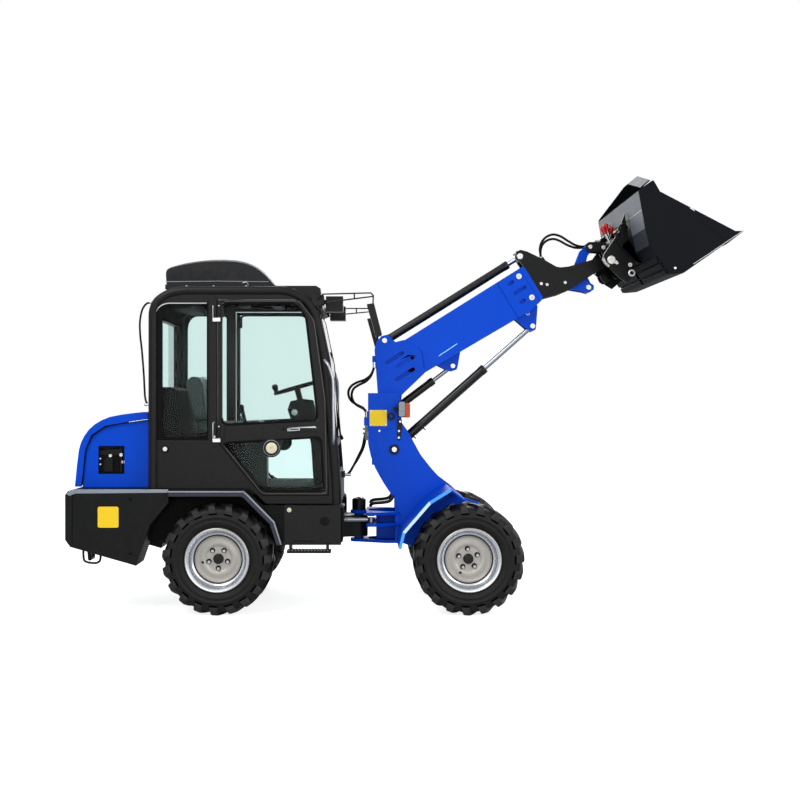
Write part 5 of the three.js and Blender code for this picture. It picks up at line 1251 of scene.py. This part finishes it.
# ---------------------------------------------------------------- hitch
# Quick hitch: two outer plates with a hooked head, inner lugs, cross pins and
# a locking pin, in black enamel with bright flame-cut edges and plated pins.
softened("rocker_plate", "tilt_rocker", blue_enamel, "rocker_body", 2.5, sharp=40)
softened("link_straps", "tilt_link", black_enamel, "link_body", 1.5, sharp=40)
softened("hitch_frame", "hitch", black_enamel, "tool", 2.5, sharp=30)
edge_grey = finish("edge_grey", "b4b1ab", 0.42, metal=0.4, shine=0.4, grain=160, relief=0.0003, mottle=0.15,
      dust=0.05)
HITCH_Y, BUCKET_Y, SHEET_Y = 250.0, 670.0, 664      # half widths
LINK_FRONT, LINK_REAR = (1797, 2591), (1700, 2596)
caps, dark, rims = [], [], []
for side in (-1, 1):
    y = side * HITCH_Y
    caps += [turned([(30, y), (30, y + side * 5), (26, y + side * 8), (12, y + side * 8), (12, y + side * 4),
          (0.1, y + side * 4),
             (0.1, y)], 1811, 0, 2474, 28), pin_cap(1946, 2439, 15, y, 6, side),
             turned([(25, y), (25, y + side * 4), (22, y + side * 6), (14, y + side * 6), (14, y),
             (14, y - side * 3), (25, y - side * 3)], 1956, 0, 2380, 28),
             plate([(1826, 2452), (1852, 2440), (1862, 2450), (1848, 2470), (1832, 2474)], y, y + side * 4)]
    caps.append(pin_cap(*LINK_FRONT, 15, side * 47, 6, side))
    dark += [turned([(34, y - side), (34, y + side * 7), (20, y + side * 8), (18, y - side)], 1893, 0, 2700,
          28),
             turned([(12, y), (12, y + side * 3), (0.1, y + side * 3), (0.1, y)], 1900, 0, 2580, 16)]
    rims += [swept([(x, y + side * 0.6, z) for x, z in run], 2.4, 8) for run in
             ([(1868, 2682), (1759, 2518), (1746, 2480)], [(1888, 2738), (1868, 2684)],
             [(1745, 2474), (1760, 2450), (1789, 2425)])]
    rims.append(plate([(1744, 2476), (1762, 2446), (1790, 2422), (1800, 2432), (1774, 2456), (1758, 2492)], y
          + side * 1.5, y - side * 17))
piece("hitch_pin_caps", caps, pin_steel, "tool")
piece("hitch_collars", dark, black_enamel, "tool")
piece("hitch_edges", rims, edge_grey, "tool")
cheek = [(x + 36 * math.cos(a), z + 36 * math.sin(a)) for x, z,
      a0 in ((*LINK_FRONT, -math.pi / 2), (*LINK_REAR, math.pi / 2))
         for a in a0 + np.linspace(0, math.pi, 14)]
piece("link_cheeks", [plate(cheek, s * 46, s * 39) for s in (-1, 1)], black_enamel, "link_body",
      bevel=2)
piece("rocker_pins", [turned([(19, s * 30), (19, s * 33), (15, s * 35), (0.1, s * 35), (0.1, s * 30)],
      ROCKER_PIN[0],
      0, ROCKER_PIN[1], 24) for s in (-1, 1)]
      + [pin_cap(*LINK_REAR, 15, s * 46.8, 6, s) for s in (-1, 1)], pin_steel, "rocker_body")

# quick couplers: red plastic caps on plated sleeves, above the hitch
coupler_red = finish("coupler_red", "c01a16", 0.35, coat=0.3, grain=60, relief=0.0003, mottle=0.08,
      dust=0.05)
red, steel = [], []
for n, (q, z0, lean) in enumerate(((-128, 2640, -0.5), (-96, 2660, -0.28), (-64, 2640, 0.1))):
    way = np.array([lean, 0, 1]) / math.hypot(lean, 1)
    foot = np.array([1812 + n * 14, q, z0])
    steel.append(swept([foot + way * d for d in (-30, 8, 9, 34, 35, 50)], [11, 11, 14, 14, 11, 11], 16))
    red.append(swept([foot + way * d for d in (42, 44, 60, 61, 68, 69, 92, 100)],
          [15, 19, 19, 16, 16, 19, 19, 13], 18))
steel.append(swept([(1840, q, 2628) for q in (-140, -50)], 13, 16, (0, 0, 1)))
steel.append(plate([(1812, 2600), (1870, 2600), (1870, 2626), (1812, 2626)], -136, -50))
piece("coupler_caps", red, coupler_red, "tool")
piece("coupler_sleeves", steel, zinc, "tool")

# ---------------------------------------------------------------- bucket
# Bucket: folded and welded steel sheet in dark enamel, with painted light on its
# back, pale grey at the top and mid grey lower down, and painted shade in black on the
# rear of the spill guard; with folded heel ribs, weld beads, and a bright ground cutting edge.
TOOL_TILT = math.radians(35)


def tool(points):
    """Distance along the bucket's floor and square to it, from its pivot, to the side view."""
    p = np.atleast_2d(np.array(points, float))
    c, s = math.cos(TOOL_TILT), math.sin(TOOL_TILT)
    return np.stack([TOOL_PIN[0] + p[:, 0] * c - p[:, 1] * s, TOOL_PIN[1] + p[:, 0] * s + p[:, 1] * c], 1)


bucket_dark = finish("bucket_dark", "101216", 0.5, shine=0.04, grain=60, relief=0.0006, mottle=0.2,
      dust=0.01, high=1.2, earth="4a4e55")
# pale grey: painted light on the top of the bucket's back and on its top flange
bucket_lit_grey = finish("bucket_lit_grey", "62666c", 0.5, shine=0.08, grain=50, relief=0.0005, mottle=0.3,
      dust=0.03, high=1.2, earth="8c8f92")
ground_edge = finish("ground_edge", "e2e4e6", 0.28, metal=0.9, grain=260, relief=0.0002, mottle=0.1,
      dust=0.04)
softened("bucket_shell", "bucket", bucket_dark, "tool", 3, sharp=24, steps=2)
back = tool([(283, 285), (225, 160), (172, 48), (130, -63), (130, -146), (128, -301), (160, -330),
      (214, -350)])
# mid grey: painted half light on the lower panels of the back, between the lit top and the dark shell
bucket_half_lit_grey = finish("bucket_half_lit_grey", "33363b", 0.55, shine=0.03, grain=50, relief=0.0005, mottle=0.3, dust=0.02,
      high=1.2, earth="6a6e73")
lit_skins, lower, beads = [], [], []
for a, b, t0, t1 in ((0, 1, 0.03, 0.985), (1, 2, 0.0, 1.0), (2, 3, 0.0, 1.0)):
    pa, pb = back[a] + (back[b] - back[a]) * t0, back[a] + (back[b] - back[a]) * t1
    n = np.array([pb[1] - pa[1], -(pb[0] - pa[0])])
    n = n / np.linalg.norm(n) * (1 if (pb[1] - pa[1]) < 0 else -1)
    for s0, s1 in ((-SHEET_Y, -300), (300, SHEET_Y)) if a else ((-SHEET_Y, SHEET_Y),):
        q = [pa + n * 2.2, pb + n * 2.2, pb - n * 3, pa - n * 3]
        v = [(x, y, z) for y in (s0, s1) for x, z in q]
        (lower if a == 2 else lit_skins).append(block(v))
    if a == 0:
        beads += [swept([(pb[0], y, pb[1]) for y in (s * 300, s * SHEET_Y)], 3.4, 8, (1, 0, 0))
              for s in (-1, 1)]
(a, b), (c, d) = ((1916, 2912), (1979.5, 2965)), ((1971, 3053), (2042, 3112.5))
for s in (-1, 1):
    v = [(a[0] - 1.6, s * SHEET_Y, a[1] + 2), (b[0] - 1.6, s * SHEET_Y, b[1] + 1.6),
          (d[0] - 2.2, s * 61, d[1] - 1), (c[0] - 1.6, s * 61, c[1] + 1.6)]
    w = [(x + 3, y, z - 4) for x, y, z in v]
    lit_skins.append(block(v + w))
piece("bucket_back_lit_sheet", lit_skins, bucket_lit_grey, "tool", bevel=1)
piece("bucket_back_lower_half_lit", lower, bucket_half_lit_grey, "tool", bevel=1)
piece("bucket_back_beads", beads, edge_grey, "tool")
# black without sheen over the rear face of the spill guard: painted shade
guard_painted_shade = finish("guard_painted_shade", "08090a", 0.8, shine=0.0, grain=60, relief=0.0004, mottle=0.2, dust=0.0)
wing = [(x + d * 4 - 1.7, y, z - d * 1.6 + 0.7) for d in (0, 1) for x, y, z in
        ((1906, -664, 2896), (1913, -664, 2912), (1970, -61, 3051), (1970, 61, 3051), (1913, 664, 2912),
        (1906, 664, 2896))]
piece("bucket_guard_back_shade", [(np.array(wing), [[0, 1, 2, 3, 4, 5], [11, 10, 9, 8, 7, 6]]
      + [[k, (k + 1) % 6, (k + 1) % 6 + 6, k + 6]
      for k in range(6)])], guard_painted_shade, "tool")
heels = []
for u, v0, v1 in ((128, -150, -186), (127.5, -204, -240), (127, -258, -292)):
    pts = tool([(u - 12, v0), (u - 14, v1), (u + 4, v1 - 6), (u + 4, v0 + 6)])
    heels += [plate(pts, s * 660, s * 30) for s in (-1, 1)]
piece("bucket_heels", heels, bucket_dark, "tool", bevel=4)
lip = tool([(560, -357), (711, -351), (711, -349), (560, -348)])
piece("bucket_lip", [plate(lip, -668, 668)], black_enamel, "tool", bevel=0.6)
marks = []
for s in (-1, 1):
    y = s * BUCKET_Y
    marks += [swept([(x, y + s * 0.6, z) for x, z in tool([(706, -346), (560, -344), (430, -342),
          (300, -338)])], 2.8, 8),
              swept([(x, y + s * 0.4, z) for x, z in tool([(500, -12), (514, -44)])], 5.0, 8)]
    x, z = tool([(184, -290)])[0]
    marks.append(pin_cap(x, z, 8, y, 4, s))
piece("bucket_bright_edge", marks, ground_edge, "tool")
seams = []
for s in (-1, 1):
    y = s * BUCKET_Y
    seams += [swept([(x, y + s * 0.3, z) for x, z in tool([(504, -124), (573, -324)])], 2.2, 8)]
    seams += [turned([(7, y - s), (7, y + s * 2), (4, y + s * 2.4), (0.1, y + s * 2.4), (0.1, y - s)], x, 0,
          z, 14)
              for x, z in tool([(516, -95), (504, -122), (346, -218)])]
    rear_edge = tool([(396, 200), (404, 284), (286, 284), (228, 160), (175, 48), (134, -63), (133, -146),
          (132, -300)])
    seams.append(swept([(x, y - s * 2, z) for x, z in corners(rear_edge, 14)], 3.2, 8))
piece("bucket_side_marks", seams, bucket_dark, "tool")
piece("bucket_hooks", [plate(tool([(100, 86), (136, 96), (150, 40), (140, -150), (100, -130), (78, 10),
      (66, 60), (84, 120), (112, 128)]),
      s * 268, s * 252) for s in (-1, 1)], black_enamel, "tool", bevel=3)
prongs = [plate([(1770, 2376), (1786, 2344), (1812, 2328), (1832, 2340), (1836, 2356), (1800, 2396)], s * 60,
      s * 38) for s in (-1, 1)]
piece("nose_stops", prongs, black_enamel, "inner_boom_body", bevel=3)
